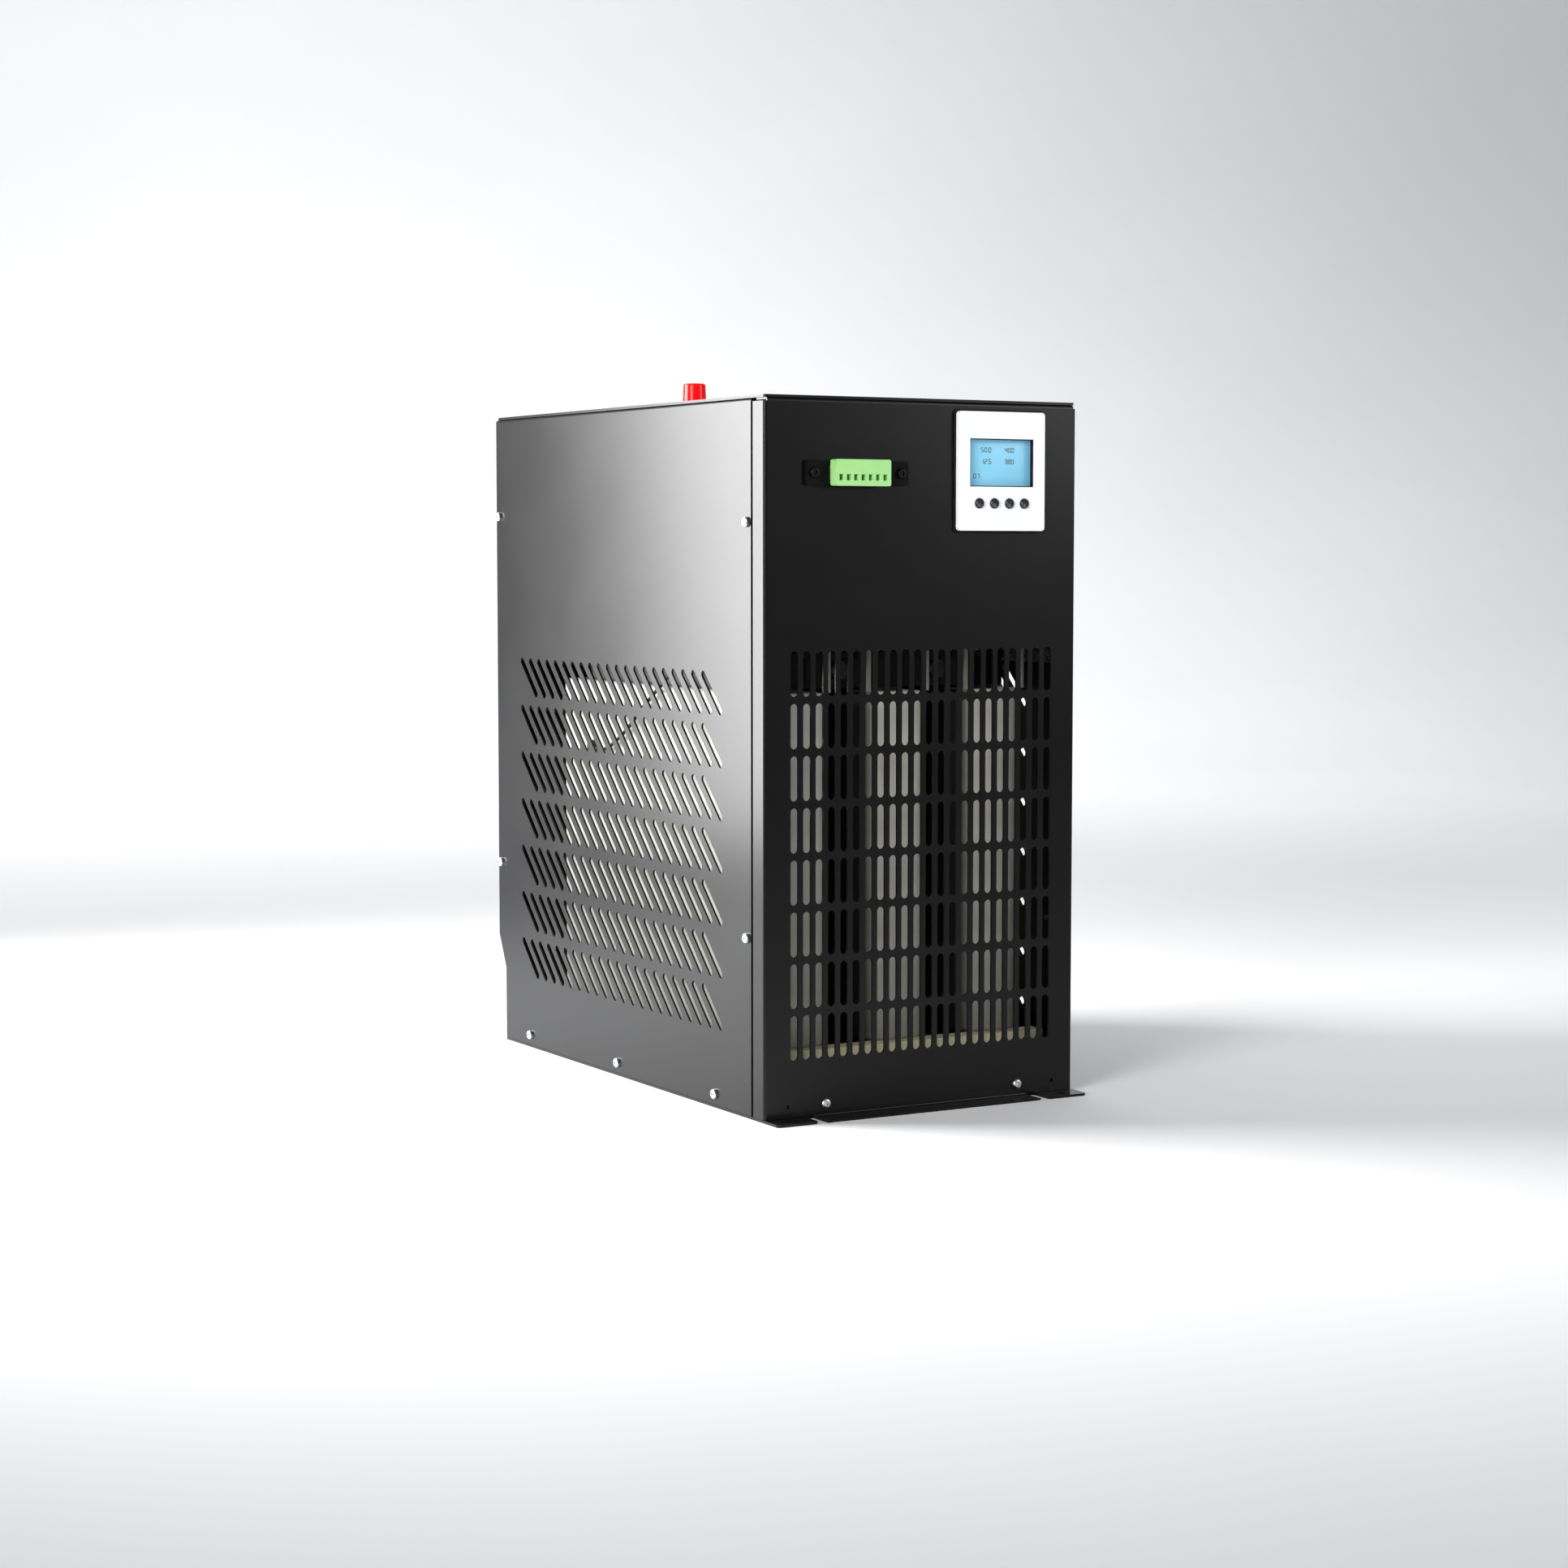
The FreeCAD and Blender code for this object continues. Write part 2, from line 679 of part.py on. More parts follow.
grid(mid_shelf, air_slot, "size.shelf_slot_columns", "size.shelf_slot_pitch",
     "size.shelf_slot_rows", "size.shelf_slot_step")


# ---------------------------------------------------------------------------------------------------------
# Skins: front panel with its grille, side panels with leaning vents, rear panel and top cover
# ---------------------------------------------------------------------------------------------------------

RIM_WIDE = "(size.bezel_wide - 2 * size.bezel_margin)"
RIM_TALL = "(size.bezel_tall - 2 * size.bezel_margin)"
TAB_HALF = "(%s - size.tab_gap)" % EAR_INNER

front_panel = new_body("front_panel")
pad(front_panel, "sheet", "XY", FOOT, "%s - %s" % (TOP, FOLD),
    outline(("-" + HALF, FRONT + " + size.front_return"), ("-" + HALF, FRONT, FOLD), (HALF, FRONT, FOLD),
            (HALF, FRONT + " + size.front_return"), (INNER, FRONT + " + size.front_return"),
            (INNER, BEHIND, "size.bend"), ("-" + INNER, BEHIND, "size.bend"),
            ("-" + INNER, FRONT + " + size.front_return")))
pad(front_panel, "top_fold", "YZ", "%s - %s" % (FOLD, HALF), "%s - %s" % (HALF, FOLD),
    outline((FRONT, "%s - %s - size.lap" % (TOP, FOLD)), (FRONT, TOP, FOLD),
            (FRONT + " + size.flange", TOP), (FRONT + " + size.flange", TOP + " - size.skin"),
            (BEHIND, TOP + " - size.skin", "size.bend"), (BEHIND, "%s - %s - size.lap" % (TOP, FOLD))))
pad(front_panel, "foot_tab", "YZ", "-" + TAB_HALF, TAB_HALF,
    outline((FRONT, FOOT + " + size.lap"), (FRONT, "size.skin", "size.bend"),
            (FRONT + " - size.ear_reach", "size.skin"), (FRONT + " - size.ear_reach", "0"),
            (BEHIND, "0", FOLD), (BEHIND, FOOT + " + size.lap")))
pocket(front_panel, "openings", "XZ", FRONT, BEHIND,
       centred("size.display_across", "size.display_level", RIM_WIDE + " + 2 * size.fit_gap",
               RIM_TALL + " + 2 * size.fit_gap"),
       centred("size.terminal_across", "size.terminal_level", "size.header_body_wide + 2 * size.fit_gap",
               "size.header_body_tall + 2 * size.fit_gap"),
       *[circle("size.terminal_across + %d * size.header_screw_pitch / 2" % k, "size.terminal_level",
                THREAD) for k in (-1, 1)],
       *[circle("%d * size.front_screw_pitch / 2" % k, "size.base_screw_level", "size.screw_hole")
         for k in (-1, 1)],
       *[circle("%d * size.spare_hole_pitch / 2" % k, "size.base_screw_level", "size.spare_hole")
         for k in (-1, 1)])
grille_slot = pocket(front_panel, "grille_slot", "XZ", FRONT, BEHIND,
                     slot("-size.grille_pitch * (size.grille_columns - 1) / 2",
                          "size.grille_bottom + size.grille_long / 2",
                          "size.grille_long", "size.grille_wide"))
grid(front_panel, grille_slot, "size.grille_columns", "size.grille_pitch",
     "size.grille_rows", "size.grille_step")

CAP_RUN = "(size.vent_rise - size.vent_wide)"
VENT_LONG = "(%s / cos(size.vent_lean) + size.vent_wide)" % CAP_RUN

for word, side in (("left", -1), ("right", 1)):
    panel = new_body(word + "_side_panel")
    low, high = ("-" + HALF, "-" + INNER) if side < 0 else (INNER, HALF)
    pad(panel, "sheet", "YZ", low, high,
        outline((SIDE_FRONT, FOOT), (BASE_REAR, FOOT), (BASE_REAR, "size.notch_low"),
                (REAR, "size.notch_high"), (REAR, "%s - %s" % (TOP, FOLD)),
                (SIDE_FRONT, "%s - %s" % (TOP, FOLD))))
    wall = "%d * %s" % (side, HALF)
    pad(panel, "top_fold", "XZ", SIDE_FRONT, REAR,
        outline((wall, "%s - %s - size.lap" % (TOP, FOLD)), (wall, TOP, FOLD),
                ("%s - %d * size.flange" % (wall, side), TOP),
                ("%s - %d * size.flange" % (wall, side), TOP + " - size.skin"),
                ("%s - %d * size.skin" % (wall, side), TOP + " - size.skin", "size.bend"),
                ("%s - %d * size.skin" % (wall, side), "%s - %s - size.lap" % (TOP, FOLD))))
    pocket(panel, "screw_holes", "YZ", low, high,
           *[circle("size.base_screw_middle + %d * size.base_screw_pitch" % k, "size.base_screw_level",
                    "size.screw_hole") for k in (-1, 0, 1)],
           circle(EDGE_SCREW_FRONT, "size.post_screw_low", "size.screw_hole"),
           circle(EDGE_SCREW_FRONT, "size.post_screw_high", "size.screw_hole"),
           circle(EDGE_SCREW_REAR, "size.rear_screw_low", "size.screw_hole"),
           circle(EDGE_SCREW_REAR, "size.rear_screw_high", "size.screw_hole"))
    vent = pocket(panel, "vent", "YZ", low, high,
                  slot("size.vent_middle - size.vent_pitch * (size.vent_columns - 1) / 2",
                       "size.vent_bottom + size.vent_rise / 2", VENT_LONG, "size.vent_wide",
                       "size.vent_lean"))
    grid(panel, vent, "size.vent_columns", "size.vent_pitch", "size.vent_rows", "size.vent_step")

SLOPE_SHIFT = "size.skin * tan(atan(size.notch_step / (size.notch_high - size.notch_low)) / 2)"
COVER_HOLES = [("%d * (%s - size.cover_screw_inset)" % (side, HALF),
                "%d * (%s - size.cover_screw_end)" % (end, REAR))
               for side in (-1, 1) for end in (-1, 1)]

rear_panel = new_body("rear_panel")
pad(rear_panel, "sheet", "YZ", "-" + INNER, INNER,
    outline((REAR, TOP), (REAR, "size.notch_high"), (BASE_REAR, "size.notch_low"), (BASE_REAR, FOOT),
            (BASE_REAR + " - size.skin", FOOT),
            (BASE_REAR + " - size.skin", "size.notch_low + " + SLOPE_SHIFT),
            (BEFORE_REAR, "size.notch_high + " + SLOPE_SHIFT), (BEFORE_REAR, TOP)))
pad(rear_panel, "side_returns", "XY", "size.notch_high + size.lap", BELOW_FOLDS,
    rectangle("-" + INNER, REAR + " - size.rear_return", "-" + CORE, REAR),
    rectangle(CORE, REAR + " - size.rear_return", INNER, REAR))
pocket(rear_panel, "flange_relief", "XY", BELOW_FOLDS, TOP,
       *[rectangle("%d * %s - size.flange" % (side, HALF), BEFORE_REAR + " - size.lap",
                   "%d * %s + size.flange" % (side, HALF), REAR + " + size.lap") for side in (-1, 1)])
for word, low, high in (("left", "-" + INNER, "-" + CORE), ("right", CORE, INNER)):
    pocket(rear_panel, word + "_screw_holes", "YZ", low, high,
           circle(EDGE_SCREW_REAR, "size.rear_screw_low", THREAD),
           circle(EDGE_SCREW_REAR, "size.rear_screw_high", THREAD))
FAN_SCREWS = [("%d * size.fan_screw_pitch / 2" % across,
               "size.fan_level + %d * size.fan_screw_pitch / 2" % up)
              for across in (-1, 1) for up in (-1, 1)]
DC_PLACES = ["%s * size.dc_pitch" % k for k in (-1.5, -0.5, 0.5, 1.5)]
pocket(rear_panel, "openings", "XZ", BEFORE_REAR, REAR,
       *[circle(x, z, "size.screw_hole") for x, z in FAN_SCREWS],
       *[circle(x, "size.dc_level", "size.dc_neck") for x in DC_PLACES],
       centred("0", "size.ac_level", "size.ac_wide", "size.ac_tall"))
pocket(rear_panel, "earth_hole", "XZ", BASE_REAR + " - size.skin", BASE_REAR,
       circle("size.earth_across", "size.earth_level", "size.earth_stud"))
fan_slot = pocket(rear_panel, "fan_slot", "XZ", BEFORE_REAR, REAR,
                  slot("-size.fan_slot_pitch * (size.fan_slot_columns - 1) / 2",
                       "size.fan_level - size.fan_slot_step * (size.fan_slot_rows - 1) / 2",
                       "size.fan_slot_long", "size.fan_slot_wide"))
grid(rear_panel, fan_slot, "size.fan_slot_columns", "size.fan_slot_pitch",
     "size.fan_slot_rows", "size.fan_slot_step")

top_cover = new_body("top_cover")
pad(top_cover, "sheet", "XY", TOP, "size.case_height",
    rectangle("size.cover_inset - " + HALF, "size.cover_inset + " + FRONT,
              HALF + " - size.cover_inset", REAR + " - size.cover_inset", "size.foot_corner"))
pocket(top_cover, "openings", "XY", TOP, "size.case_height",
       circle("0", "size.lamp_back", "size.lamp_neck"),
       *[circle(x, y, "size.cover_screw_head + 2 * size.fit_gap") for x, y in COVER_HOLES])
for panel, holes in (("left_side_panel", COVER_HOLES[:2]), ("right_side_panel", COVER_HOLES[2:])):
    body = [piece for piece in pieces if piece.Label == panel][0]
    pocket(body, "cover_screw_holes", "XY", TOP + " - size.skin", TOP,
           *[circle(x, y, THREAD) for x, y in holes])


# ---------------------------------------------------------------------------------------------------------
# Display unit: bezel on a gasket, clear window, glass, board, key switches and four caps that press in
# ---------------------------------------------------------------------------------------------------------

BEZEL_BACK = "(%s - size.gasket_thick)" % FRONT
BEZEL_FACE = "(%s - size.bezel_thick)" % BEZEL_BACK
BOARD_FACE = "(%s + size.rim_depth)" % BEZEL_BACK
WINDOW_LEVEL = "(size.display_level + size.window_rise)"
BUTTON_LEVEL = "(size.display_level - size.button_drop)"
BUTTONS = ["size.display_across + %s * size.button_pitch" % k for k in (-1.5, -0.5, 0.5, 1.5)]

bezel = new_body("display_bezel")
pad(bezel, "plate", "XZ", BEZEL_FACE, BEZEL_BACK,
    centred("size.display_across", "size.display_level", "size.bezel_wide", "size.bezel_tall",
            "size.bezel_corner"))
pad(bezel, "rim", "XZ", BEZEL_BACK, BOARD_FACE,
    centred("size.display_across", "size.display_level", RIM_WIDE, RIM_TALL),
    centred("size.display_across", "size.display_level", RIM_WIDE + " - 2 * size.rim_wall",
            RIM_TALL + " - 2 * size.rim_wall"))
pocket(bezel, "window", "XZ", BEZEL_FACE, BEZEL_BACK,
       centred("size.display_across", WINDOW_LEVEL, "size.window_wide", "size.window_tall"))
pocket(bezel, "button_holes", "XZ", BEZEL_FACE, BEZEL_BACK,
       *[circle(x, BUTTON_LEVEL, "size.button_size + 2 * size.button_gap") for x in BUTTONS])

gasket = new_body("display_gasket")
pad(gasket, "ring", "XZ", BEZEL_BACK, FRONT,
    centred("size.display_across", "size.display_level", "size.bezel_wide + 2 * size.gasket_border",
            "size.bezel_tall + 2 * size.gasket_border", "size.bezel_corner"),
    centred("size.display_across", "size.display_level", RIM_WIDE + " + 2 * size.fit_gap",
            RIM_TALL + " + 2 * size.fit_gap"))

window = new_body("display_window")
pad(window, "sheet", "XZ", BEZEL_BACK, BEZEL_BACK + " + size.lens_thick",
    centred("size.display_across", WINDOW_LEVEL, "size.window_wide + 2 * size.lens_border",
            "size.window_tall + 2 * size.lens_border"))

glass = new_body("display_glass")
GLASS_FACE = "(%s + size.lens_thick)" % BEZEL_BACK
pad(glass, "slab", "XZ", GLASS_FACE, GLASS_FACE + " + size.glass_thick",
    centred("size.display_across", WINDOW_LEVEL, "size.window_wide + 2 * size.glass_border",
            "size.window_tall + 2 * size.glass_border"))

display_board = new_body("display_board")
pad(display_board, "sheet", "XZ", BOARD_FACE, BOARD_FACE + " + size.board_thick",
    centred("size.display_across", "size.display_level", RIM_WIDE, RIM_TALL))

SWITCH_FACE = "(%s - size.switch_tall)" % BOARD_FACE
PLUNGER_FACE = "(%s - size.plunger_tall)" % SWITCH_FACE

key_switch = new_body("key_switch", kept=False)
pad(key_switch, "case", "XY", "0", "size.switch_tall",
    centred("0", "0", "size.switch_size", "size.switch_size"))
pad(key_switch, "plunger", "XY", "size.switch_tall", "size.switch_tall + size.plunger_tall",
    circle("0", "0", "size.plunger_size"))
group("button_switches", copies("button_switches", key_switch, "front",
                                [(x, BOARD_FACE, BUTTON_LEVEL) for x in BUTTONS]))

for number, x in enumerate(BUTTONS, start=1):
    button = new_body("button_%d" % number, x, "0", BUTTON_LEVEL)
    pad(button, "cap", "XZ", BEZEL_FACE + " - size.button_proud", BEZEL_BACK,
        circle("0", "0", "size.button_size"))
    pad(button, "collar", "XZ", BEZEL_BACK, BEZEL_BACK + " + size.button_collar_thick",
        circle("0", "0", "size.button_collar"))
    pad(button, "stem", "XZ", BEZEL_BACK + " + size.button_collar_thick",
        PLUNGER_FACE + " - size.button_travel - size.fit_gap / 2", circle("0", "0", "size.plunger_size"))


# ---------------------------------------------------------------------------------------------------------
# Pluggable signal terminal: flanged socket with pins and the plug that pulls off to the front
# ---------------------------------------------------------------------------------------------------------

FLANGE_FACE = "(%s - size.header_flange_thick)" % FRONT
HEADER_BACK = "(%s + size.header_depth)" % FRONT
CAVITY_WIDE = "(size.header_body_wide - 2 * size.header_wall)"
CAVITY_TALL = "(size.header_body_tall - 2 * size.header_wall)"
CAVITY_BACK = "(%s - size.header_floor)" % HEADER_BACK
TERMINAL = ("size.terminal_across", "size.terminal_level")
WAYS = ["%s + (%d - (size.terminal_ways - 1) / 2) * size.terminal_pitch" % (TERMINAL[0], k)
        for k in range(SIZES["terminal_ways"])]
HEADER_SCREWS = ["size.terminal_across + %d * size.header_screw_pitch / 2" % k for k in (-1, 1)]

header = new_body("terminal_header")
pad(header, "flange", "XZ", FLANGE_FACE, FRONT,
    centred(*TERMINAL, "size.header_flange_wide", "size.header_flange_tall", "size.plug_corner"))
pad(header, "box", "XZ", FLANGE_FACE, HEADER_BACK,
    centred(*TERMINAL, "size.header_body_wide", "size.header_body_tall"))
pocket(header, "socket", "XZ", FLANGE_FACE, CAVITY_BACK, centred(*TERMINAL, CAVITY_WIDE, CAVITY_TALL))
pocket(header, "screw_holes", "XZ", FLANGE_FACE, FRONT,
       *[circle(x, TERMINAL[1], "size.screw_hole") for x in HEADER_SCREWS])
pocket(header, "pin_holes", "XZ", CAVITY_BACK, HEADER_BACK,
       *[centred(x, TERMINAL[1], "size.pin_size", "size.pin_size") for x in WAYS])

BOARD_BACK = "(%s + size.board_thick)" % HEADER_BACK
PIN_TIP = "(%s - size.pin_reach)" % CAVITY_BACK
pin = new_body("pin", kept=False)
pad(pin, "shank", "XZ", PIN_TIP, BOARD_BACK + " + size.pin_size",
    centred("0", "0", "size.pin_size", "size.pin_size"))
group("header_pins", copies("header_pins", pin, "up", [(x, "0", TERMINAL[1]) for x in WAYS]))

PLUG_FACE = "(%s - size.plug_proud)" % FRONT
NOSE_WIDE = "(size.plug_wide - 2 * size.plug_nose_inset)"
NOSE_TALL = "(%s - 2 * size.plug_nose_inset)" % CAVITY_TALL
PLUG_TOP = "(size.terminal_level + size.plug_tall / 2)"
plug = new_body("terminal_plug")
pad(plug, "head", "XZ", PLUG_FACE, FLANGE_FACE + " - size.fit_gap",
    centred(*TERMINAL, "size.plug_wide", "size.plug_tall", "size.plug_corner"))
pad(plug, "nose", "XZ", FLANGE_FACE + " - size.fit_gap", CAVITY_BACK + " - size.plug_nose_gap",
    centred(*TERMINAL, NOSE_WIDE, NOSE_TALL))
pocket(plug, "funnels", "XZ", PLUG_FACE, PLUG_FACE + " + size.funnel_deep",
       *[centred(x, TERMINAL[1] + " - size.funnel_drop", "size.funnel_wide", "size.funnel_tall")
         for x in WAYS])
pocket(plug, "pin_sockets", "XZ", PIN_TIP + " - size.fit_gap", CAVITY_BACK,
       *[centred(x, TERMINAL[1], "size.pin_size + 2 * size.fit_gap", "size.pin_size + 2 * size.fit_gap")
         for x in WAYS])
CLAMP_BACK = "(%s + size.plug_proud / 3)" % PLUG_FACE
pocket(plug, "clamp_wells", "XY", PLUG_TOP + " - size.clamp_screw_deep", PLUG_TOP,
       *[circle(x, CLAMP_BACK, "size.clamp_screw") for x in WAYS])

clamp_screw = new_body("clamp_screw", kept=False)
pad(clamp_screw, "cheese", "XY", "-size.clamp_screw_deep", "-size.clamp_screw_sunk",
    circle("0", "0", "size.clamp_screw"))
pocket(clamp_screw, "driver_slot", "XY", "-2 * size.clamp_screw_sunk", "-size.clamp_screw_sunk",
       centred("0", "0", "size.clamp_screw", "size.clamp_screw / 4"))
group("plug_clamp_screws",
      copies("plug_clamp_screws", clamp_screw, "up", [(x, CLAMP_BACK, PLUG_TOP) for x in WAYS]))


# ---------------------------------------------------------------------------------------------------------
# Pilot lamp on the cover
# ---------------------------------------------------------------------------------------------------------

LAMP_SEAT = "(size.case_height + size.lamp_rim_tall)"
lamp_body = new_body("lamp_body", "0", "size.lamp_back", "size.case_height")
pad(lamp_body, "rim", "XY", "0", "size.lamp_rim_tall", circle("0", "0", "size.lamp_rim"))
pad(lamp_body, "neck", "XY", "-size.lamp_neck_long", "0", circle("0", "0", "size.lamp_neck"))

lamp_lens = new_body("lamp_lens", "0", "size.lamp_back", LAMP_SEAT)
taper = pad(lamp_lens, "cap", "XY", "0", "size.lens_tall", circle("0", "0", "size.lens_low"))
taper.setExpression("TaperAngle", "-atan((size.lens_low - size.lens_high) / 2 / size.lens_tall)")
doc.recompute()
round_edges(lamp_lens, "size.lens_round", ("0", "0", "size.lens_tall"))

lamp_nut = new_body("lamp_nut", "0", "size.lamp_back", TOP)
pad(lamp_nut, "hexagon", "XY", "-size.lamp_nut_tall", "0", hexagon("0", "0", "size.lamp_nut_across"),
    circle("0", "0", "size.lamp_neck"))


# ---------------------------------------------------------------------------------------------------------
# Three-phase reactor: laminated core, three taped coils, clamps, tie rods, support bars and leads
# ---------------------------------------------------------------------------------------------------------

LEG_HALF = "(size.coil_wide / 2 - size.coil_build - size.leg_gap)"
CORE_HALF = "(size.coil_deep / 2 - size.coil_build - size.core_end_gap)"
YOKE_HALF = "(size.coil_pitch + %s)" % LEG_HALF
CORE_FRONT = "(size.reactor_back - %s)" % CORE_HALF
CORE_BACK = "(size.reactor_back + %s)" % CORE_HALF
LOW_YOKE_TOP = "(size.coil_low - size.yoke_gap)"
LOW_YOKE_FOOT = "(%s - size.yoke_tall)" % LOW_YOKE_TOP
HIGH_YOKE_FOOT = "(size.coil_high + size.yoke_gap)"
HIGH_YOKE_TOP = "(%s + size.yoke_tall)" % HIGH_YOKE_FOOT
TIE_PLACES = ["%d * size.coil_pitch / 2" % side for side in (-1, 1)]
TIE_HOLE = "size.tie_rod + 2 * size.fit_gap"

for word, low, high in (("bottom", LOW_YOKE_FOOT, LOW_YOKE_TOP), ("top", HIGH_YOKE_FOOT, HIGH_YOKE_TOP)):
    yoke = new_body("core_yoke_" + word)
    pad(yoke, "stack", "XY", low, high, rectangle("-" + YOKE_HALF, CORE_FRONT, YOKE_HALF, CORE_BACK))
    pocket(yoke, "tie_holes", "XZ", CORE_FRONT, CORE_BACK,
           *[circle(x, "%s + size.yoke_tall / 2" % low, TIE_HOLE) for x in TIE_PLACES])

core_leg = new_body("core_leg", kept=False)
pad(core_leg, "stack", "XY", LOW_YOKE_TOP, HIGH_YOKE_FOOT,
    rectangle("-" + LEG_HALF, CORE_FRONT, LEG_HALF, CORE_BACK))
group("core_legs",
      copies("core_legs", core_leg, "up", [("%d * size.coil_pitch" % k, "0", "0") for k in (-1, 0, 1)]))

for number, k in enumerate((-1, 0, 1), start=1):
    coil = new_body("coil_%d" % number, "%d * size.coil_pitch" % k, "size.reactor_back", "0")
    pad(coil, "winding", "XY", "size.coil_low", "size.coil_high",
        centred("0", "0", "size.coil_wide", "size.coil_deep", "size.coil_round"),
        centred("0", "0", "size.coil_wide - 2 * size.coil_build", "size.coil_deep - 2 * size.coil_build",
                "size.coil_round - size.coil_build"))

CLAMPS = (("front_low", CORE_FRONT, "-", LOW_YOKE_FOOT, LOW_YOKE_TOP),
          ("rear_low", CORE_BACK, "+", LOW_YOKE_FOOT, LOW_YOKE_TOP),
          ("front_high", CORE_FRONT, "-", HIGH_YOKE_TOP, HIGH_YOKE_FOOT),
          ("rear_high", CORE_BACK, "+", HIGH_YOKE_TOP, HIGH_YOKE_FOOT))
clamp_bars = []
for word, face, outward, edge, far_edge in CLAMPS:
    clamp = new_body("clamp_" + word, kept=False)
    foot = "size.base_thick" if "low" in word else edge
    foot_side = "size.base_thick + size.clamp_thick" if "low" in word else edge + " - size.clamp_thick"
    pad(clamp, "angle", "YZ", "-%s - size.clamp_overhang" % YOKE_HALF, "%s + size.clamp_overhang" % YOKE_HALF,
        outline((face, foot), (face, far_edge),
                ("%s %s size.clamp_thick" % (face, outward), far_edge),
                ("%s %s size.clamp_thick" % (face, outward), foot_side),
                ("%s %s size.clamp_foot" % (face, outward), foot_side),
                ("%s %s size.clamp_foot" % (face, outward), foot)))
    low, high = ((face, face + " + size.clamp_thick") if outward == "+"
                 else (face + " - size.clamp_thick", face))
    middle = (LOW_YOKE_FOOT if "low" in word else HIGH_YOKE_FOOT) + " + size.yoke_tall / 2"
    pocket(clamp, "tie_holes", "XZ", low, high,
           *[circle(x, middle, TIE_HOLE) for x in TIE_PLACES])
    clamp_bars.append(clamp)
group("core_clamps", clamp_bars)

tie_rod = new_body("tie_rod", kept=False)
NUT_REACH = "(%s + size.clamp_thick)" % CORE_HALF
pad(tie_rod, "rod", "XZ", "-%s - size.tie_nut_tall" % NUT_REACH, NUT_REACH + " + size.tie_nut_tall",
    circle("0", "0", "size.tie_rod"))
for low, high in (("-%s - size.tie_nut_tall" % NUT_REACH, "-" + NUT_REACH),
                  (NUT_REACH, NUT_REACH + " + size.tie_nut_tall")):
    pad(tie_rod, "nut", "XZ", low, high, hexagon("0", "0", "size.tie_nut_across"))
group("tie_rods", copies("tie_rods", tie_rod, "up",
                         [(x, "size.reactor_back", foot + " + size.yoke_tall / 2")
                          for x in TIE_PLACES for foot in (LOW_YOKE_FOOT, HIGH_YOKE_FOOT)]))

COIL_BACK = "(size.reactor_back + size.coil_deep / 2)"
BAR_END = "(%s - size.rail_foot - size.fit_gap)" % INNER
for word, low, high in (("front", COIL_FRONT + " - size.support_bar_deep / 2",
                         COIL_FRONT + " + size.support_bar_deep / 2"),
                        ("rear", COIL_BACK + " - size.support_bar_deep", COIL_BACK)):
    bar = new_body("support_bar_" + word)
    pad(bar, "bar", "XY", "size.base_thick", "size.coil_low", rectangle("-" + BAR_END, low, BAR_END, high))

LEAD_TOP = "(size.shelf_level + size.lead_rise)"
lead = new_body("lead", kept=False)
pad(lead, "wire", "XY", "size.coil_high", LEAD_TOP, circle("0", "0", "size.lead_size"))
group("coil_leads", copies("coil_leads", lead, "up", [(x, LEAD_BACK, "0") for x in LEADS]))

strip = new_body("lead_terminals")
STRIP_HALF = "(size.coil_pitch + size.coil_wide / 2 + size.strip_end)"
pad(strip, "block", "XY", "size.shelf_level", "size.shelf_level + size.strip_tall",
    rectangle("-" + STRIP_HALF, LEAD_BACK + " - size.strip_deep / 2",
              STRIP_HALF, LEAD_BACK + " + size.strip_deep / 2"))
pocket(strip, "lead_holes", "XY", "size.shelf_level", LEAD_TOP,
       *[circle(x, LEAD_BACK, "size.lead_size + 2 * size.fit_gap") for x in LEADS])
pocket(strip, "screw_wells", "XY", LEAD_TOP + " + size.fit_gap", "size.shelf_level + size.strip_tall",
       *[circle(x, LEAD_BACK, "size.lead_grommet - size.clamp_screw_sunk") for x in LEADS])

COIL_SIDE = "(-size.coil_pitch - size.coil_wide / 2)"
thermal_switch = new_body("thermal_switch")
pad(thermal_switch, "case", "YZ", COIL_SIDE + " - size.switch_thick", COIL_SIDE,
    centred("size.switch_back", "size.switch_level", "size.switch_wide", "size.switch_high",
            "size.switch_corner"))


def tube(route, radius):
    """Round cable along straight runs that are joined by tangent arcs."""
    points = [Vector(*point) for point in route]
    start = points[0]
    edges = []
    for before, here, after in zip(points, points[1:], points[2:]):
        way_in = (here - before).normalize()
        way_out = (after - here).normalize()
        turn = way_in.getAngle(way_out)
        setback = 0.45 * min((here - before).Length, (after - here).Length)
        arc_start = here - way_in * setback
        arc_end = here + way_out * setback
        bend_radius = setback / math.tan(turn / 2)
        inside = (way_out - way_in).normalize()
        centre = here + inside * (bend_radius / math.cos(turn / 2))
        edges.append(Part.LineSegment(start, arc_start).toShape())
        edges.append(Part.Arc(arc_start, centre - inside * bend_radius, arc_end).toShape())
        print("bend radius", round(bend_radius, 1))
        start = arc_end
    edges.append(Part.LineSegment(start, points[-1]).toShape())
    path = Part.Wire(edges)
    first_way = (points[1] - points[0]).normalize()
    section = Part.Wire(Part.Circle(points[0], first_way, radius).toShape())
    shape = path.makePipeShell([section], True, False)
    if abs(shape.Volume / (path.Length * math.pi * radius ** 2) - 1) > 0.01:
        raise ValueError("The cable's volume does not match its length")
    return shape


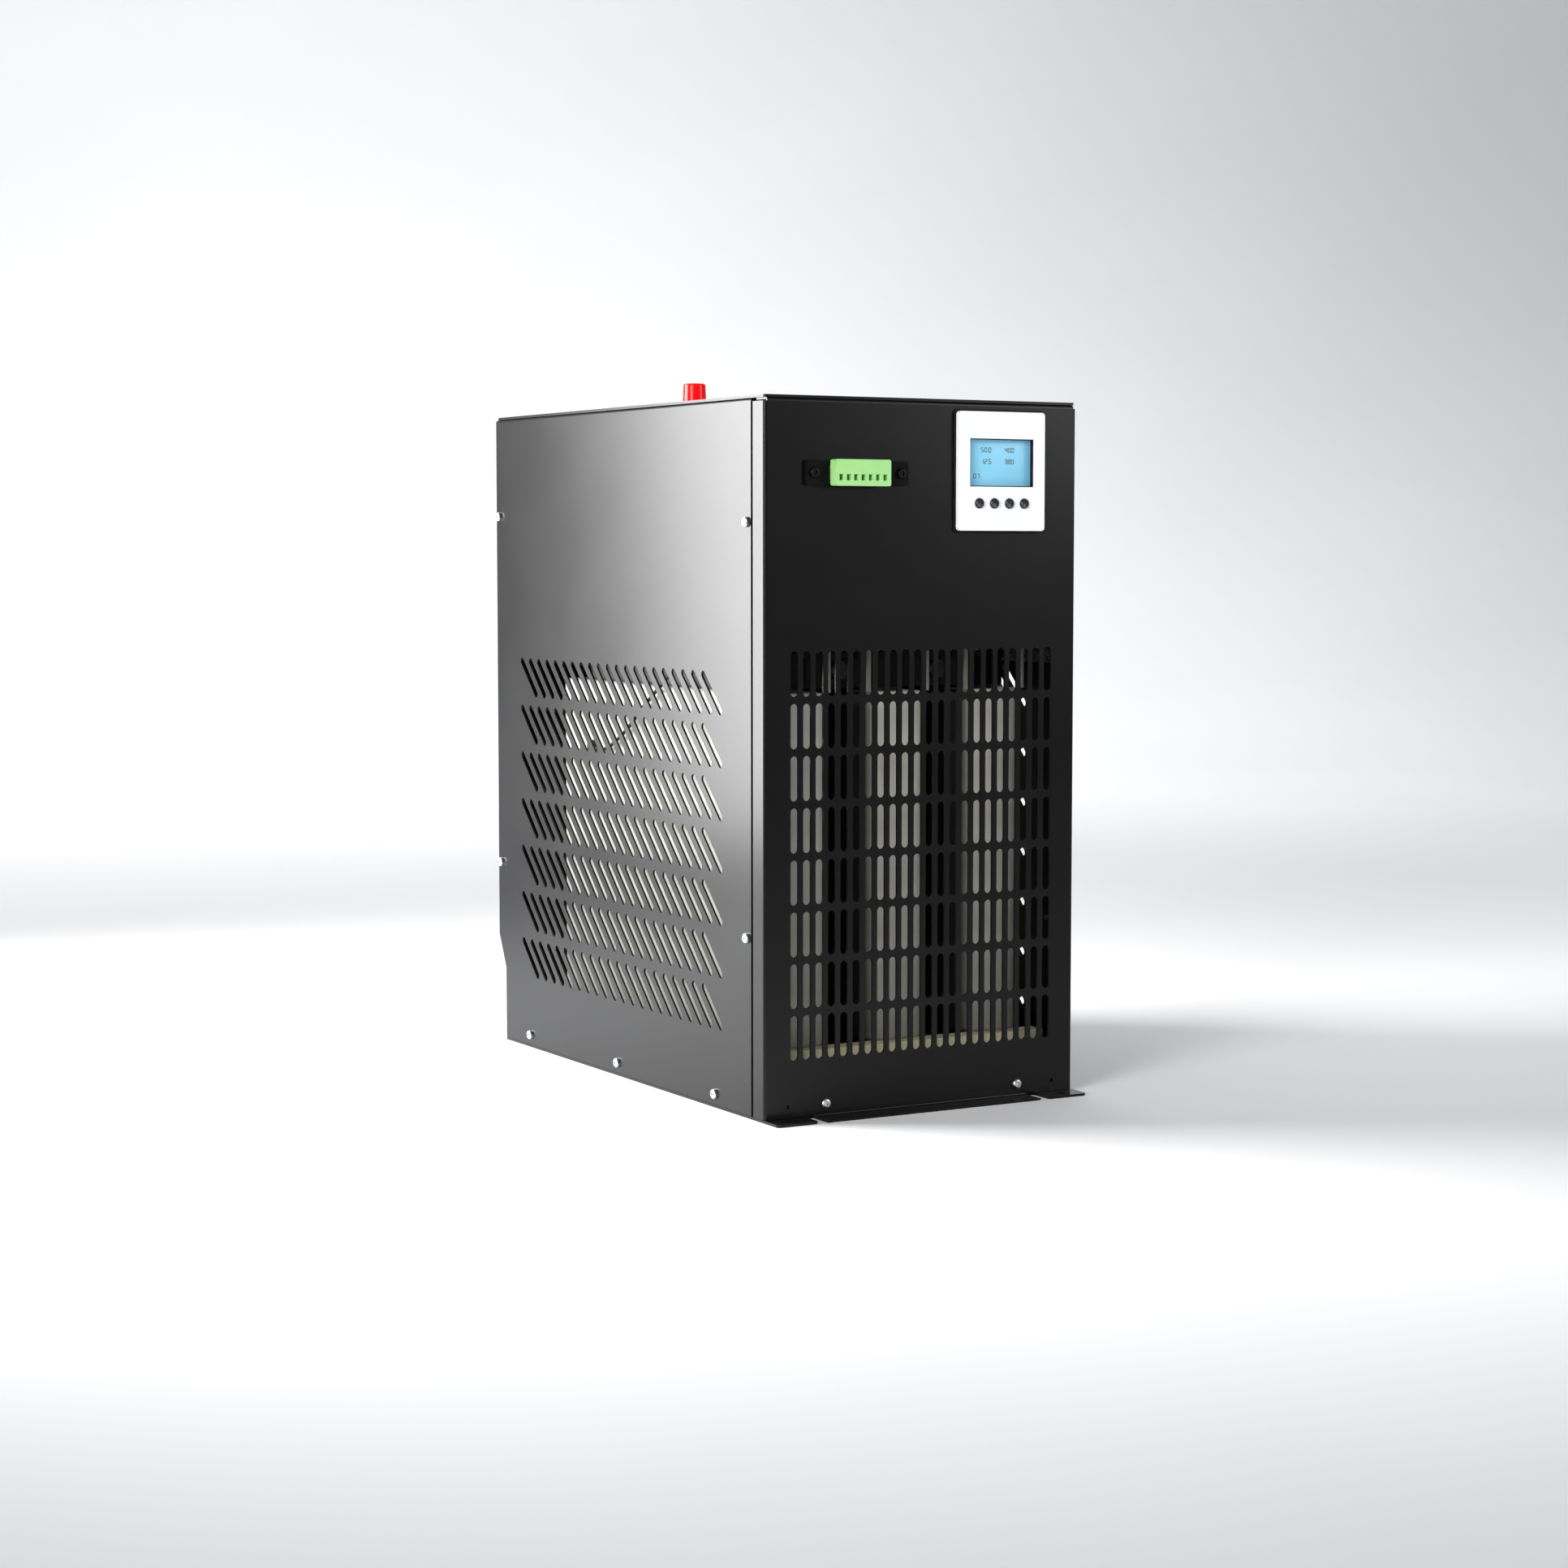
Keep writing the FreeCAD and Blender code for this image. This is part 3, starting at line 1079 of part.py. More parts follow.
# Depth and height of each turn of the switch's lead, from the switch up through the shelf to the board
CABLE_ROUTE = [(value("size.switch_back - size.switch_wide / 2"), value("size.switch_level")),
               (46, value("size.switch_level")),
               (20, 206),
               (-14, 229),
               (-42, 244),
               (value("size.cable_hole_back"), 270),
               (-74, 294),
               (-112, 308),
               (value(BOARD_BACK), 308)]
thermal_lead = doc.addObject("Part::Feature", "thermal_lead")
thermal_lead.Shape = tube([(value(CABLE_ACROSS), y, z) for y, z in CABLE_ROUTE], value("size.cable_size / 2"))
thermal_lead.Placement = Placement()
pieces.append(thermal_lead)


# ---------------------------------------------------------------------------------------------------------
# Power stage on the shelf: finned heatsink, power modules, board with capacitors, control board, standoffs
# ---------------------------------------------------------------------------------------------------------

SINK_HALF = "((size.fin_gaps * size.fin_pitch + size.fin_thick) / 2)"
SINK_FRONT = "(size.sink_back - size.sink_deep / 2)"
SINK_REAR = "(size.sink_back + size.sink_deep / 2)"
FIN_TOP = "(size.shelf_level + size.fin_tall)"
SINK_TOP = "(%s + size.sink_base)" % FIN_TOP

heatsink = new_body("heatsink")
pad(heatsink, "block", "XY", "size.shelf_level", SINK_TOP,
    rectangle("-" + SINK_HALF, SINK_FRONT, SINK_HALF, SINK_REAR))
channel = pocket(heatsink, "channel", "XZ", SINK_FRONT, SINK_REAR,
                 rectangle("size.fin_thick - " + SINK_HALF, "size.shelf_level",
                           "size.fin_pitch - " + SINK_HALF, FIN_TOP))
grid(heatsink, channel, "size.fin_gaps", "size.fin_pitch")

power_module = new_body("power_module", kept=False)
pad(power_module, "base", "XY", "0", "size.module_tall",
    centred("0", "0", "size.module_wide", "size.module_deep"))
pad(power_module, "lid", "XY", "size.module_tall", "size.module_tall + size.module_lid_tall",
    centred("0", "0", "size.module_wide - 2 * size.module_lid_inset",
            "size.module_deep - 2 * size.module_lid_inset"))
MODULE_PLACES = [("%d * size.module_pitch" % k, "size.sink_back", SINK_TOP) for k in (-1, 0, 1)]
group("power_modules", copies("power_modules", power_module, "up", MODULE_PLACES))

POWER_BOARD = "(%s + size.module_tall + size.module_lid_tall + size.power_board_lift)" % SINK_TOP
POWER_BOARD_TOP = "(%s + size.board_thick)" % POWER_BOARD
power_board = new_body("power_board")
pad(power_board, "sheet", "XY", POWER_BOARD, POWER_BOARD_TOP,
    centred("0", "size.sink_back", "size.power_board_wide", "size.power_board_deep"))

CONTROL_TOP = "(size.control_board_level + size.control_board_tall)"
control_board = new_body("control_board")
pad(control_board, "sheet", "XZ", HEADER_BACK, BOARD_BACK,
    rectangle("size.terminal_across - size.control_board_wide / 2", "size.control_board_level",
              "size.terminal_across + size.control_board_wide / 2", CONTROL_TOP))
pocket(control_board, "pin_holes", "XZ", HEADER_BACK, BOARD_BACK,
       *[centred(x, TERMINAL[1], "size.pin_size", "size.pin_size") for x in WAYS])

power_standoff = new_body("power_standoff", kept=False)
pad(power_standoff, "pillar", "XY", SINK_TOP, POWER_BOARD, circle("0", "0", "size.standoff_size"))
control_standoff = new_body("control_standoff", kept=False)
pad(control_standoff, "pillar", "XZ", BEHIND, HEADER_BACK, circle("0", "0", "size.control_standoff_size"))
POWER_CORNERS = [("%d * (size.power_board_wide / 2 - size.standoff_inset)" % side,
                  "size.sink_back + %d * (size.power_board_deep / 2 - size.standoff_inset)" % end, "0")
                 for side in (-1, 1) for end in (-1, 1)]
CONTROL_REACH = "(size.control_board_wide / 2 - size.control_standoff_inset)"
CONTROL_CORNERS = [("size.terminal_across + %d * %s" % (side, CONTROL_REACH), "0", level)
                   for side in (-1, 1)
                   for level in ("size.control_board_level + size.control_standoff_inset / 2",
                                 CONTROL_TOP + " - size.control_standoff_inset / 2")]
group("board_standoffs",
      copies("power_standoffs", power_standoff, "up", POWER_CORNERS)
      + copies("control_standoffs", control_standoff, "up", CONTROL_CORNERS))

capacitor = new_body("capacitor", kept=False)
pad(capacitor, "can", "XY", "0", "size.capacitor_tall", circle("0", "0", "size.capacitor_size"))
CAPACITOR_BACK = "size.sink_back - size.power_board_deep / 2 + size.capacitor_inset"
group("dc_capacitors", copies("dc_capacitors", capacitor, "up",
                              [("%s * size.capacitor_pitch" % k, CAPACITOR_BACK, POWER_BOARD_TOP)
                               for k in (-1.5, -0.5, 0.5, 1.5)]))


# ---------------------------------------------------------------------------------------------------------
# Fan behind the rear panel's slots: frame with three struts and a bearing, and a rotor that spins in it
# ---------------------------------------------------------------------------------------------------------

# The fan is drawn about its own axis, local +Z, which points to the rear of the case.
fan_frame = new_body("fan_frame", "0", BEFORE_REAR, "size.fan_level", TURNS["rear"])
pad(fan_frame, "shell", "XY", "-size.fan_deep", "0",
    centred("0", "0", "size.fan_size", "size.fan_size", "size.fan_corner"), circle("0", "0", "size.fan_bore"))
pad(fan_frame, "motor_plate", "XY", "-size.fan_plate", "0", circle("0", "0", "size.fan_hub"),
    circle("0", "0", "size.fan_shaft + 2 * size.fan_running_gap"))
STRUT_LOW = "(size.fan_hub / 2 - size.fan_strut_lap)"
STRUT_HIGH = "(size.fan_bore / 2 + size.fan_strut_lap)"
pad(fan_frame, "struts", "XY", "-size.fan_plate", "0",
    rectangle("-size.fan_strut / 2", STRUT_LOW, "size.fan_strut / 2", STRUT_HIGH),
    rectangle("-size.fan_strut / 2", "-" + STRUT_HIGH, "size.fan_strut / 2", "-" + STRUT_LOW),
    rectangle(STRUT_LOW, "-size.fan_strut / 2", STRUT_HIGH, "size.fan_strut / 2"),
    rectangle("-" + STRUT_HIGH, "-size.fan_strut / 2", "-" + STRUT_LOW, "size.fan_strut / 2"))
pocket(fan_frame, "screw_holes", "XY", "-size.fan_deep", "0",
       *[circle("%d * size.fan_screw_pitch / 2" % a, "%d * size.fan_screw_pitch / 2" % b, THREAD)
         for a in (-1, 1) for b in (-1, 1)])

HUB_LOW = "(-size.fan_deep + size.fan_end_gap)"
HUB_HIGH = "(-size.fan_plate - size.fan_end_gap)"
fan_rotor = new_body("fan_rotor", "0", BEFORE_REAR, "size.fan_level", TURNS["rear"])
pad(fan_rotor, "hub", "XY", HUB_LOW, HUB_HIGH, circle("0", "0", "size.fan_hub"))
pad(fan_rotor, "shaft", "XY", HUB_HIGH, "-size.fan_end_gap / 2", circle("0", "0", "size.fan_shaft"))
blade = pad(fan_rotor, "blade", "YZ", STRUT_LOW, "size.fan_blade_reach",
            outline(("-size.fan_blade_chord", HUB_LOW + " + size.fan_end_gap"),
                    ("size.fan_blade_thick - size.fan_blade_chord", HUB_LOW + " + size.fan_end_gap"),
                    ("size.fan_blade_chord", HUB_HIGH + " - size.fan_end_gap"),
                    ("size.fan_blade_chord - size.fan_blade_thick", HUB_HIGH + " - size.fan_end_gap")))
blades = fan_rotor.newObject("PartDesign::PolarPattern", "fan_blades")
blades.Originals = [blade]
blades.Axis = ([item for item in fan_rotor.Origin.OriginFeatures if item.Role == "Z_Axis"][0], [""])
blades.Angle = 360
blades.setExpression("Occurrences", "size.fan_blades")
fan_rotor.Tip = blades
doc.recompute()


# ---------------------------------------------------------------------------------------------------------
# Rear connections: capped solar string connectors, the mains terminal block and the earth stud
# ---------------------------------------------------------------------------------------------------------

# Each string connector is closed by its sealing cap, which has a shallow groove in its end.
dc_plug = new_body("dc_plug", kept=False)
pad(dc_plug, "rim", "XY", "0", "size.dc_rim_thick", hexagon("0", "0", "size.dc_rim"))
pad(dc_plug, "neck", "XY", "-size.dc_inside", "size.dc_reach", circle("0", "0", "size.dc_neck"))
pocket(dc_plug, "groove", "XY", "size.dc_reach - size.dc_groove_deep", "size.dc_reach",
       circle("0", "0", "size.dc_groove"), circle("0", "0", "size.dc_core"))
pad(dc_plug, "nut", "XY", "-size.skin - size.dc_rim_thick", "-size.skin", hexagon("0", "0", "size.dc_rim"))
group("dc_connectors",
      copies("dc_connectors", dc_plug, "rear", [(x, REAR, "size.dc_level") for x in DC_PLACES]))

ac_block = new_body("ac_terminal_block", "0", REAR, "size.ac_level")
pad(ac_block, "body", "XZ", "-size.ac_inside", "size.ac_reach",
    centred("0", "0", "size.ac_wide - 2 * size.fit_gap", "size.ac_tall - 2 * size.fit_gap"))
pad(ac_block, "flange", "XZ", "0", "size.ac_flange_thick",
    centred("0", "0", "size.ac_wide + 2 * size.ac_flange", "size.ac_tall + 2 * size.ac_flange",
            "size.foot_corner"))
pocket(ac_block, "funnels", "XZ", "size.ac_reach - size.ac_funnel_deep", "size.ac_reach",
       *[circle("(%d - (size.ac_ways - 1) / 2) * size.ac_pitch" % k, "-size.ac_funnel_drop", "size.ac_funnel")
         for k in range(SIZES["ac_ways"])])

earth_stud = new_body("earth_stud", "size.earth_across", BASE_REAR, "size.earth_level")
pad(earth_stud, "stud", "XZ", "-size.skin - size.earth_inside", "size.earth_reach",
    circle("0", "0", "size.earth_stud"))
pad(earth_stud, "outer_nut", "XZ", "0", "size.earth_nut_tall", hexagon("0", "0", "size.earth_nut_across"))
pad(earth_stud, "inner_nut", "XZ", "-size.skin - size.earth_nut_tall", "-size.skin",
    hexagon("0", "0", "size.earth_nut_across"))


# ---------------------------------------------------------------------------------------------------------
# Fasteners
# ---------------------------------------------------------------------------------------------------------

def cross_recess(screw, top):
    """Cross-shaped driver recess below a screw's top."""
    for name, wide, tall in (("recess_across", "size.recess_long", "size.recess_wide"),
                             ("recess_along", "size.recess_wide", "size.recess_long")):
        pocket(screw, name, "XY", "%s - size.recess_deep" % top, top, centred("0", "0", wide, tall))


def pan_screw(label, length):
    """Pan-head machine screw that points down, its head resting at level 0."""
    screw = new_body(label, kept=False)
    pad(screw, "shank", "XY", "-(%s)" % length, "0", circle("0", "0", THREAD))
    pad(screw, "head", "XY", "0", "size.screw_head_tall", circle("0", "0", "size.screw_head"))
    rim_place = "size.screw_head_tall"
    round_edges(screw, "size.screw_head_round", ("0", "0", rim_place))
    cross_recess(screw, "size.screw_head_tall")
    return screw


panel_screw = pan_screw("panel_screw", "size.screw_length")
BASE_ROW = ["size.base_screw_middle + %d * size.base_screw_pitch" % k for k in (-1, 0, 1)]
SIDE_PLACES = ([(y, "size.base_screw_level") for y in BASE_ROW]
               + [(EDGE_SCREW_FRONT, "size.post_screw_low"), (EDGE_SCREW_FRONT, "size.post_screw_high"),
                  (EDGE_SCREW_REAR, "size.rear_screw_low"), (EDGE_SCREW_REAR, "size.rear_screw_high")])
group("side_screws",
      copies("left_screws", panel_screw, "left", [("-" + HALF, y, z) for y, z in SIDE_PLACES])
      + copies("right_screws", panel_screw, "right", [(HALF, y, z) for y, z in SIDE_PLACES]))
group("front_screws", copies("front_screws", panel_screw, "front",
                             [("%d * size.front_screw_pitch / 2" % k, FRONT, "size.base_screw_level")
                              for k in (-1, 1)]))
group("header_screws", copies("header_screws", panel_screw, "front",
                              [(x, FLANGE_FACE, TERMINAL[1]) for x in HEADER_SCREWS]))

fan_screw = pan_screw("fan_screw", "size.skin + size.fan_deep - size.fan_plate")
group("fan_screws", copies("fan_screws", fan_screw, "rear", [(x, REAR, z) for x, z in FAN_SCREWS]))

cover_screw = new_body("cover_screw", kept=False)
pad(cover_screw, "shank", "XY", "-size.cover_thick - size.skin", "-size.cover_thick",
    circle("0", "0", THREAD))
pad(cover_screw, "head", "XY", "-size.cover_thick", "0", circle("0", "0", "size.cover_screw_head"))
cross_recess(cover_screw, "0")
group("cover_screws",
      copies("cover_screws", cover_screw, "up", [(x, y, "size.case_height") for x, y in COVER_HOLES]))


# ---------------------------------------------------------------------------------------------------------
# Checks and files
# ---------------------------------------------------------------------------------------------------------

doc.recompute()
faults = [item.Label for item in doc.Objects if "Invalid" in item.State or "Error" in item.State]
faults += [piece.Label for piece in pieces if piece.Shape.isNull() or not piece.Shape.isValid()]
if faults:
    raise ValueError("Failed: %s" % ", ".join(faults))

os.makedirs("parts", exist_ok=True)
for piece in pieces:
    piece.Shape.exportStep("parts/%s.step" % piece.Label)
    print(piece.Label, len(piece.Shape.Solids), round(piece.Shape.Volume))
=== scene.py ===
import math
import bmesh
import bpy
from mathutils import Matrix, Vector


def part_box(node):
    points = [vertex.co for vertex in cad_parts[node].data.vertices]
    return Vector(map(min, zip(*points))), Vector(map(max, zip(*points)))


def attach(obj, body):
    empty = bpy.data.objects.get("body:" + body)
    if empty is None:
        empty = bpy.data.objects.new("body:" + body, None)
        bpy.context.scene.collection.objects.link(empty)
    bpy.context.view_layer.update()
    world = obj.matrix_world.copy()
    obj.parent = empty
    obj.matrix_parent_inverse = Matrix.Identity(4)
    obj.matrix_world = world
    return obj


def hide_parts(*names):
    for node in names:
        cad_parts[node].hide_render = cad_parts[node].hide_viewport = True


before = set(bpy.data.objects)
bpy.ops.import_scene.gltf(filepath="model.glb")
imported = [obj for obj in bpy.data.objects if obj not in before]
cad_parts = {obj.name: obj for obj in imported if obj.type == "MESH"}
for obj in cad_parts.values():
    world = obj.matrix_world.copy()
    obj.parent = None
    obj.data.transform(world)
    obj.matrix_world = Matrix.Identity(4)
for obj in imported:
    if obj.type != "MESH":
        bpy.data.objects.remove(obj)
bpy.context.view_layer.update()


# ---------------------------------------------------------------------------------------------------------
# Studio: one seamless roll of pale paper, laid on the floor and curved up behind the cabinet, with a softbox
# at its left side, a fill from the front left, a card from the front right and two lamps on the paper behind.
# ---------------------------------------------------------------------------------------------------------

MM = 0.001


def linear(code):
    """Linear colour of an sRGB hex code, opaque."""
    parts = [int(code[k:k + 2], 16) / 255 for k in (0, 2, 4)]
    return [part / 12.92 if part <= 0.04045 else ((part + 0.055) / 1.055) ** 2.4 for part in parts] + [1]


def add(tree, kind, settings, links=None):
    """Adds a node: settings go to its inputs or its own properties, links lead other nodes' outputs in."""
    made = tree.nodes.new("ShaderNode" + kind)
    for key, setting in settings.items():
        if isinstance(key, int) or key in made.inputs:
            made.inputs[key].default_value = setting
        else:
            setattr(made, key, setting)
    for key, source in (links or {}).items():
        tree.links.new(source, made.inputs[key])
    return made


def material(name, colours, grain, rough, relief, relief_size, settings=None):
    """Shader for one real material, with its tree, shader and object coordinates.

    Two colours mottle over grain mm, the roughness runs between rough's two values as the mottling does, and
    the skin has bumps relief mm high and relief_size mm across. Settings are the same all over the surface.
    """
    made = bpy.data.materials.new(name)
    made.use_nodes = True
    tree = made.node_tree
    shader = tree.nodes["Principled BSDF"]
    for socket, setting in (settings or {}).items():
        shader.inputs[socket].default_value = setting
    place = add(tree, "TexCoord", {}).outputs["Object"]
    cloud = add(tree, "TexNoise", {"Scale": 1 / (grain * MM), "Detail": 5}, {"Vector": place}).outputs["Fac"]
    tint = add(tree, "Mix", {"data_type": "RGBA", 6: linear(colours[0]), 7: linear(colours[1])}, {0: cloud})
    sheen = add(tree, "MapRange", {"From Min": 0.3, "From Max": 0.7, "To Min": rough[0], "To Max": rough[1]},
                {"Value": cloud})
    bumps = add(tree, "TexNoise", {"Scale": 1 / (relief_size * MM), "Detail": 3}, {"Vector": place})
    skin = add(tree, "Bump", {"Distance": relief * MM}, {"Height": bumps.outputs["Fac"]})
    tree.links.new(tint.outputs[2], shader.inputs["Base Color"])
    tree.links.new(sheen.outputs["Result"], shader.inputs["Roughness"])
    tree.links.new(skin.outputs["Normal"], shader.inputs["Normal"])
    return made, tree, shader, place


EYE_BEARING = math.radians(29.49)
EYE_DISTANCE = 1.875
EYE_HEIGHT = 0.3146
LOOK_TURN = math.radians(29.74)
LOOK_DOWN = math.radians(4.33)
eye = bpy.data.cameras.new("studio_camera")
eye.lens = 70.4
camera = bpy.data.objects.new("studio_camera", eye)
camera.location = (-EYE_DISTANCE * math.sin(EYE_BEARING), -EYE_DISTANCE * math.cos(EYE_BEARING), EYE_HEIGHT)
camera.rotation_euler = (math.pi / 2 - LOOK_DOWN, 0, -LOOK_TURN)
bpy.context.scene.collection.objects.link(camera)
bpy.context.scene.camera = camera
bpy.context.scene.view_settings.view_transform = "Standard"

# Matt background paper: nearly white, faintly mottled, no gloss.
paper = material("background_paper", ("E9EAEC", "F0F0F1"), grain=400, rough=(0.7, 0.85), relief=0.02,
                 relief_size=3)[0]

SWEEP_HALF = 9.0
SWEEP_BACK = 2.4
SWEEP_FRONT = 7.0
SWEEP_BEND = 2.4
SWEEP_TALL = 4.5
sweep = bmesh.new()
near = [sweep.verts.new((side * SWEEP_HALF, -SWEEP_FRONT, 0)) for side in (-1, 1)]
edge = sweep.edges.new(near)
floor_run = bmesh.ops.extrude_edge_only(sweep, edges=[edge])["geom"]
floor_end = [v for v in floor_run if isinstance(v, bmesh.types.BMVert)]
bmesh.ops.translate(sweep, verts=floor_end, vec=(0, SWEEP_FRONT + SWEEP_BACK, 0))
floor_edge = [e for e in floor_run if isinstance(e, bmesh.types.BMEdge)
              and all(v in floor_end for v in e.verts)]
rise = bmesh.ops.spin(sweep, geom=floor_end + floor_edge, cent=(0, SWEEP_BACK, SWEEP_BEND), axis=(1, 0, 0),
                      angle=math.pi / 2, steps=24)["geom_last"]
wall_edge = [e for e in rise if isinstance(e, bmesh.types.BMEdge)]
wall_run = bmesh.ops.extrude_edge_only(sweep, edges=wall_edge)["geom"]
bmesh.ops.translate(sweep, verts=[v for v in wall_run if isinstance(v, bmesh.types.BMVert)],
                    vec=(0, 0, SWEEP_TALL))
bmesh.ops.rotate(sweep, verts=sweep.verts, cent=(0, 0, 0), matrix=Matrix.Rotation(-LOOK_TURN, 3, "Z"))
for face in sweep.faces:
    face.smooth = True
sweep_mesh = bpy.data.meshes.new("paper_sweep")
sweep.to_mesh(sweep_mesh)
sweep.free()
sweep_mesh.materials.append(paper)
backdrop = bpy.data.objects.new("paper_sweep", sweep_mesh)
bpy.context.scene.collection.objects.link(backdrop)


def softbox(name, place, aim, wide, tall, power, spread):
    """Rectangular area light that faces a point and isn't seen itself; its louvres leave spread degrees."""
    lamp = bpy.data.lights.new(name, "AREA")
    lamp.shape = "RECTANGLE"
    lamp.size = wide
    lamp.size_y = tall
    lamp.energy = power
    lamp.spread = math.radians(spread)
    made = bpy.data.objects.new(name, lamp)
    made.location = place
    made.rotation_euler = (Vector(aim) - Vector(place)).to_track_quat("-Z", "Y").to_euler()
    made.visible_camera = False
    bpy.context.scene.collection.objects.link(made)


softbox("side_softbox", (-0.775, 0.565, 0.48), (-0.1, 0, 0.22), wide=0.68, tall=0.9, power=16.5, spread=100)
softbox("front_fill", (-1.9, -1.2, 0.9), (0, -0.17, 0.33), wide=1.0, tall=1.0, power=3.5, spread=40)
softbox("right_card", (1.4, -1.6, 1.0), (0.05, -0.17, 0.42), wide=0.8, tall=1.2, power=2.2, spread=60)
softbox("back_floor_light", (-0.1, 1.9, 2.6), (-0.1, 2.0, 0), wide=4.0, tall=1.8, power=38, spread=115)
softbox("wall_wash", (-0.7, 2.0, 2.5), (1.6, 4.4, 0.9), wide=2.6, tall=1.6, power=43, spread=120)

world = bpy.data.worlds.new("studio_air")
world.use_nodes = True
world.node_tree.nodes["Background"].inputs["Color"].default_value = linear("F4F5F7")
world.node_tree.nodes["Background"].inputs["Strength"].default_value = 0.33
bpy.context.scene.world = world


# ---------------------------------------------------------------------------------------------------------
# Chassis and skins: folded steel sheet, 1.2 and 1.5 mm, sprayed with black polyester powder and stoved.
# The sheets are screwed to the posts and rails.
# ---------------------------------------------------------------------------------------------------------

def dress(finish, *nodes):
    """Gives CAD pieces their material."""
    for node in nodes:
        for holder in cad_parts[node].material_slots:
            holder.material = finish


# Powder coat: near-black and satin, with hardly any change of gloss. Its orange-peel skin is drawn at 1.6 mm,
# coarser than the real 0.5 mm, so that it shows.
powder_coat = material("black_powder_coat", ("09090A", "0E0E0F"), grain=45, rough=(0.222, 0.24),
                       relief=0.012, relief_size=1.6, settings={"Specular IOR Level": 0.2})[0]
dress(powder_coat, "base_plate", "base_rail_left", "base_rail_right", "base_rail_front", "base_rail_rear",
      "post_front_left", "post_front_right", "front_panel", "left_side_panel", "right_side_panel",
      "rear_panel", "top_cover", "core_clamps")

# Bright zinc plate with a clear passivate: cool silver, small spangles of gloss and faint drag marks.
zinc_plate = material("zinc_plate", ("BFC3C6", "DADCDD"), grain=2.5, rough=(0.22, 0.36), relief=0.01,
                      relief_size=0.8, settings={"Metallic": 1})[0]
dress(zinc_plate, "mid_shelf", "side_screws", "front_screws", "fan_screws", "cover_screws",
      "plug_clamp_screws", "lamp_nut", "board_standoffs")

# Black-oxide steel: oily dark skin over the turned head.
black_oxide = material("black_oxide_steel", ("1A1A1C", "2A2A2D"), grain=1.5, rough=(0.35, 0.5), relief=0.01,
                       relief_size=0.6, settings={"Metallic": 1})[0]
dress(black_oxide, "header_screws")


# ---------------------------------------------------------------------------------------------------------
# Reactor: three varnished steel legs between two yokes, bolted in clamps, on laminate bars. Each leg carries
# a winding that is bound all round with glass tape, each turn half over the last, and dipped in varnish.
# ---------------------------------------------------------------------------------------------------------

# Varnished silicon steel: dark enamel over the edges of 0.5 mm laminations, drawn at 2 mm so that they show
# as fine lines.
LAMINATION = 2
laminations, tree, shader, place = material("varnished_laminations", ("151517", "242427"), grain=12,
                                            rough=(0.3, 0.5), relief=0.02, relief_size=2,
                                            settings={"Coat Weight": 0.3})
sheets = add(tree, "TexWave", {"Scale": 1 / (LAMINATION * MM * math.pi), "Distortion": 0.4,
                               "bands_direction": "X"}, {"Vector": place})
edges = add(tree, "Bump", {"Distance": 0.15 * MM}, {"Height": sheets.outputs["Fac"]})
tree.links.new(edges.outputs["Normal"], shader.inputs["Normal"])
dress(laminations, "core_legs", "core_yoke_bottom", "core_yoke_top")

# Dipped rods: zinc-plated rods and nuts that went into the varnish bath with the core, now dark and dull.
dipped_zinc = material("varnish_dipped_zinc", ("1E1C1A", "2C2926"), grain=6, rough=(0.45, 0.6), relief=0.02,
                       relief_size=1.2, settings={"Metallic": 0.4})[0]
dress(dipped_zinc, "tie_rods")

# Varnished glass tape: pale, warm grey cloth with a satin skin. Its weave is drawn at 1.2 mm, coarser than
# the real 0.4 mm, so that it shows.
WEAVE = 1.2
glass_tape, tree, shader, place = material("varnished_glass_tape", ("D4D2C2", "E8E6DC"), grain=18,
                                           rough=(0.38, 0.55), relief=0.03, relief_size=1.2,
                                           settings={"Coat Weight": 0.15})
warp, weft = [add(tree, "TexWave", {"Scale": 1 / (WEAVE * MM * math.pi), "Distortion": 1.5,
                                    "bands_direction": way}, {"Vector": place}) for way in "ZY"]
cloth = add(tree, "Math", {"operation": "MAXIMUM"}, {0: warp.outputs["Fac"], 1: weft.outputs["Fac"]})
weave = add(tree, "Bump", {"Distance": 0.06 * MM}, {"Height": cloth.outputs[0]})
tree.links.new(weave.outputs["Normal"], shader.inputs["Normal"])

# Painted shade: the tape is painted darker towards the foot of each coil, where less light falls, and near
# black in the gaps between neighbours, where shade falls. It thins out between the two distances below, in mm
# from a gap. The two shades are the parts of the tape's own colour that are left there.
SHADE_EDGE, SHADE_FADE = 2, 8
GAP_SHADE, FOOT_SHADE = 0.03, 0.42
coil_low, coil_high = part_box("coil_2")
axes = add(tree, "SeparateXYZ", {}, {0: place})
gap_half = (coil_low.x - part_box("coil_1")[1].x) / 2
from_middle = add(tree, "Math", {"operation": "ABSOLUTE"}, {0: axes.outputs["X"]})
past_gap = add(tree, "Math", {"operation": "SUBTRACT", 1: coil_high.x + gap_half},
               {0: from_middle.outputs[0]})
from_gap = add(tree, "Math", {"operation": "ABSOLUTE"}, {0: past_gap.outputs[0]})
gap_shading = add(tree, "MapRange", {"From Min": gap_half + SHADE_EDGE * MM,
                                "From Max": gap_half + SHADE_FADE * MM, "To Min": GAP_SHADE, "To Max": 1},
             {"Value": from_gap.outputs[0]})
foot_shading = add(tree, "MapRange", {"From Min": coil_low.z, "From Max": coil_high.z, "To Min": FOOT_SHADE,
                                 "To Max": 1}, {"Value": axes.outputs["Z"]})
painted_shade = add(tree, "Math", {"operation": "MULTIPLY"},
            {0: gap_shading.outputs["Result"], 1: foot_shading.outputs["Result"]})
unshaded_tape = shader.inputs["Base Color"].links[0].from_socket
# Mixes the painted shade into the tape's colour: near black where the shade is deepest.
shaded_tape = add(tree, "Mix", {"data_type": "RGBA", 6: linear("050403")}, {0: painted_shade.outputs[0], 7: unshaded_tape})
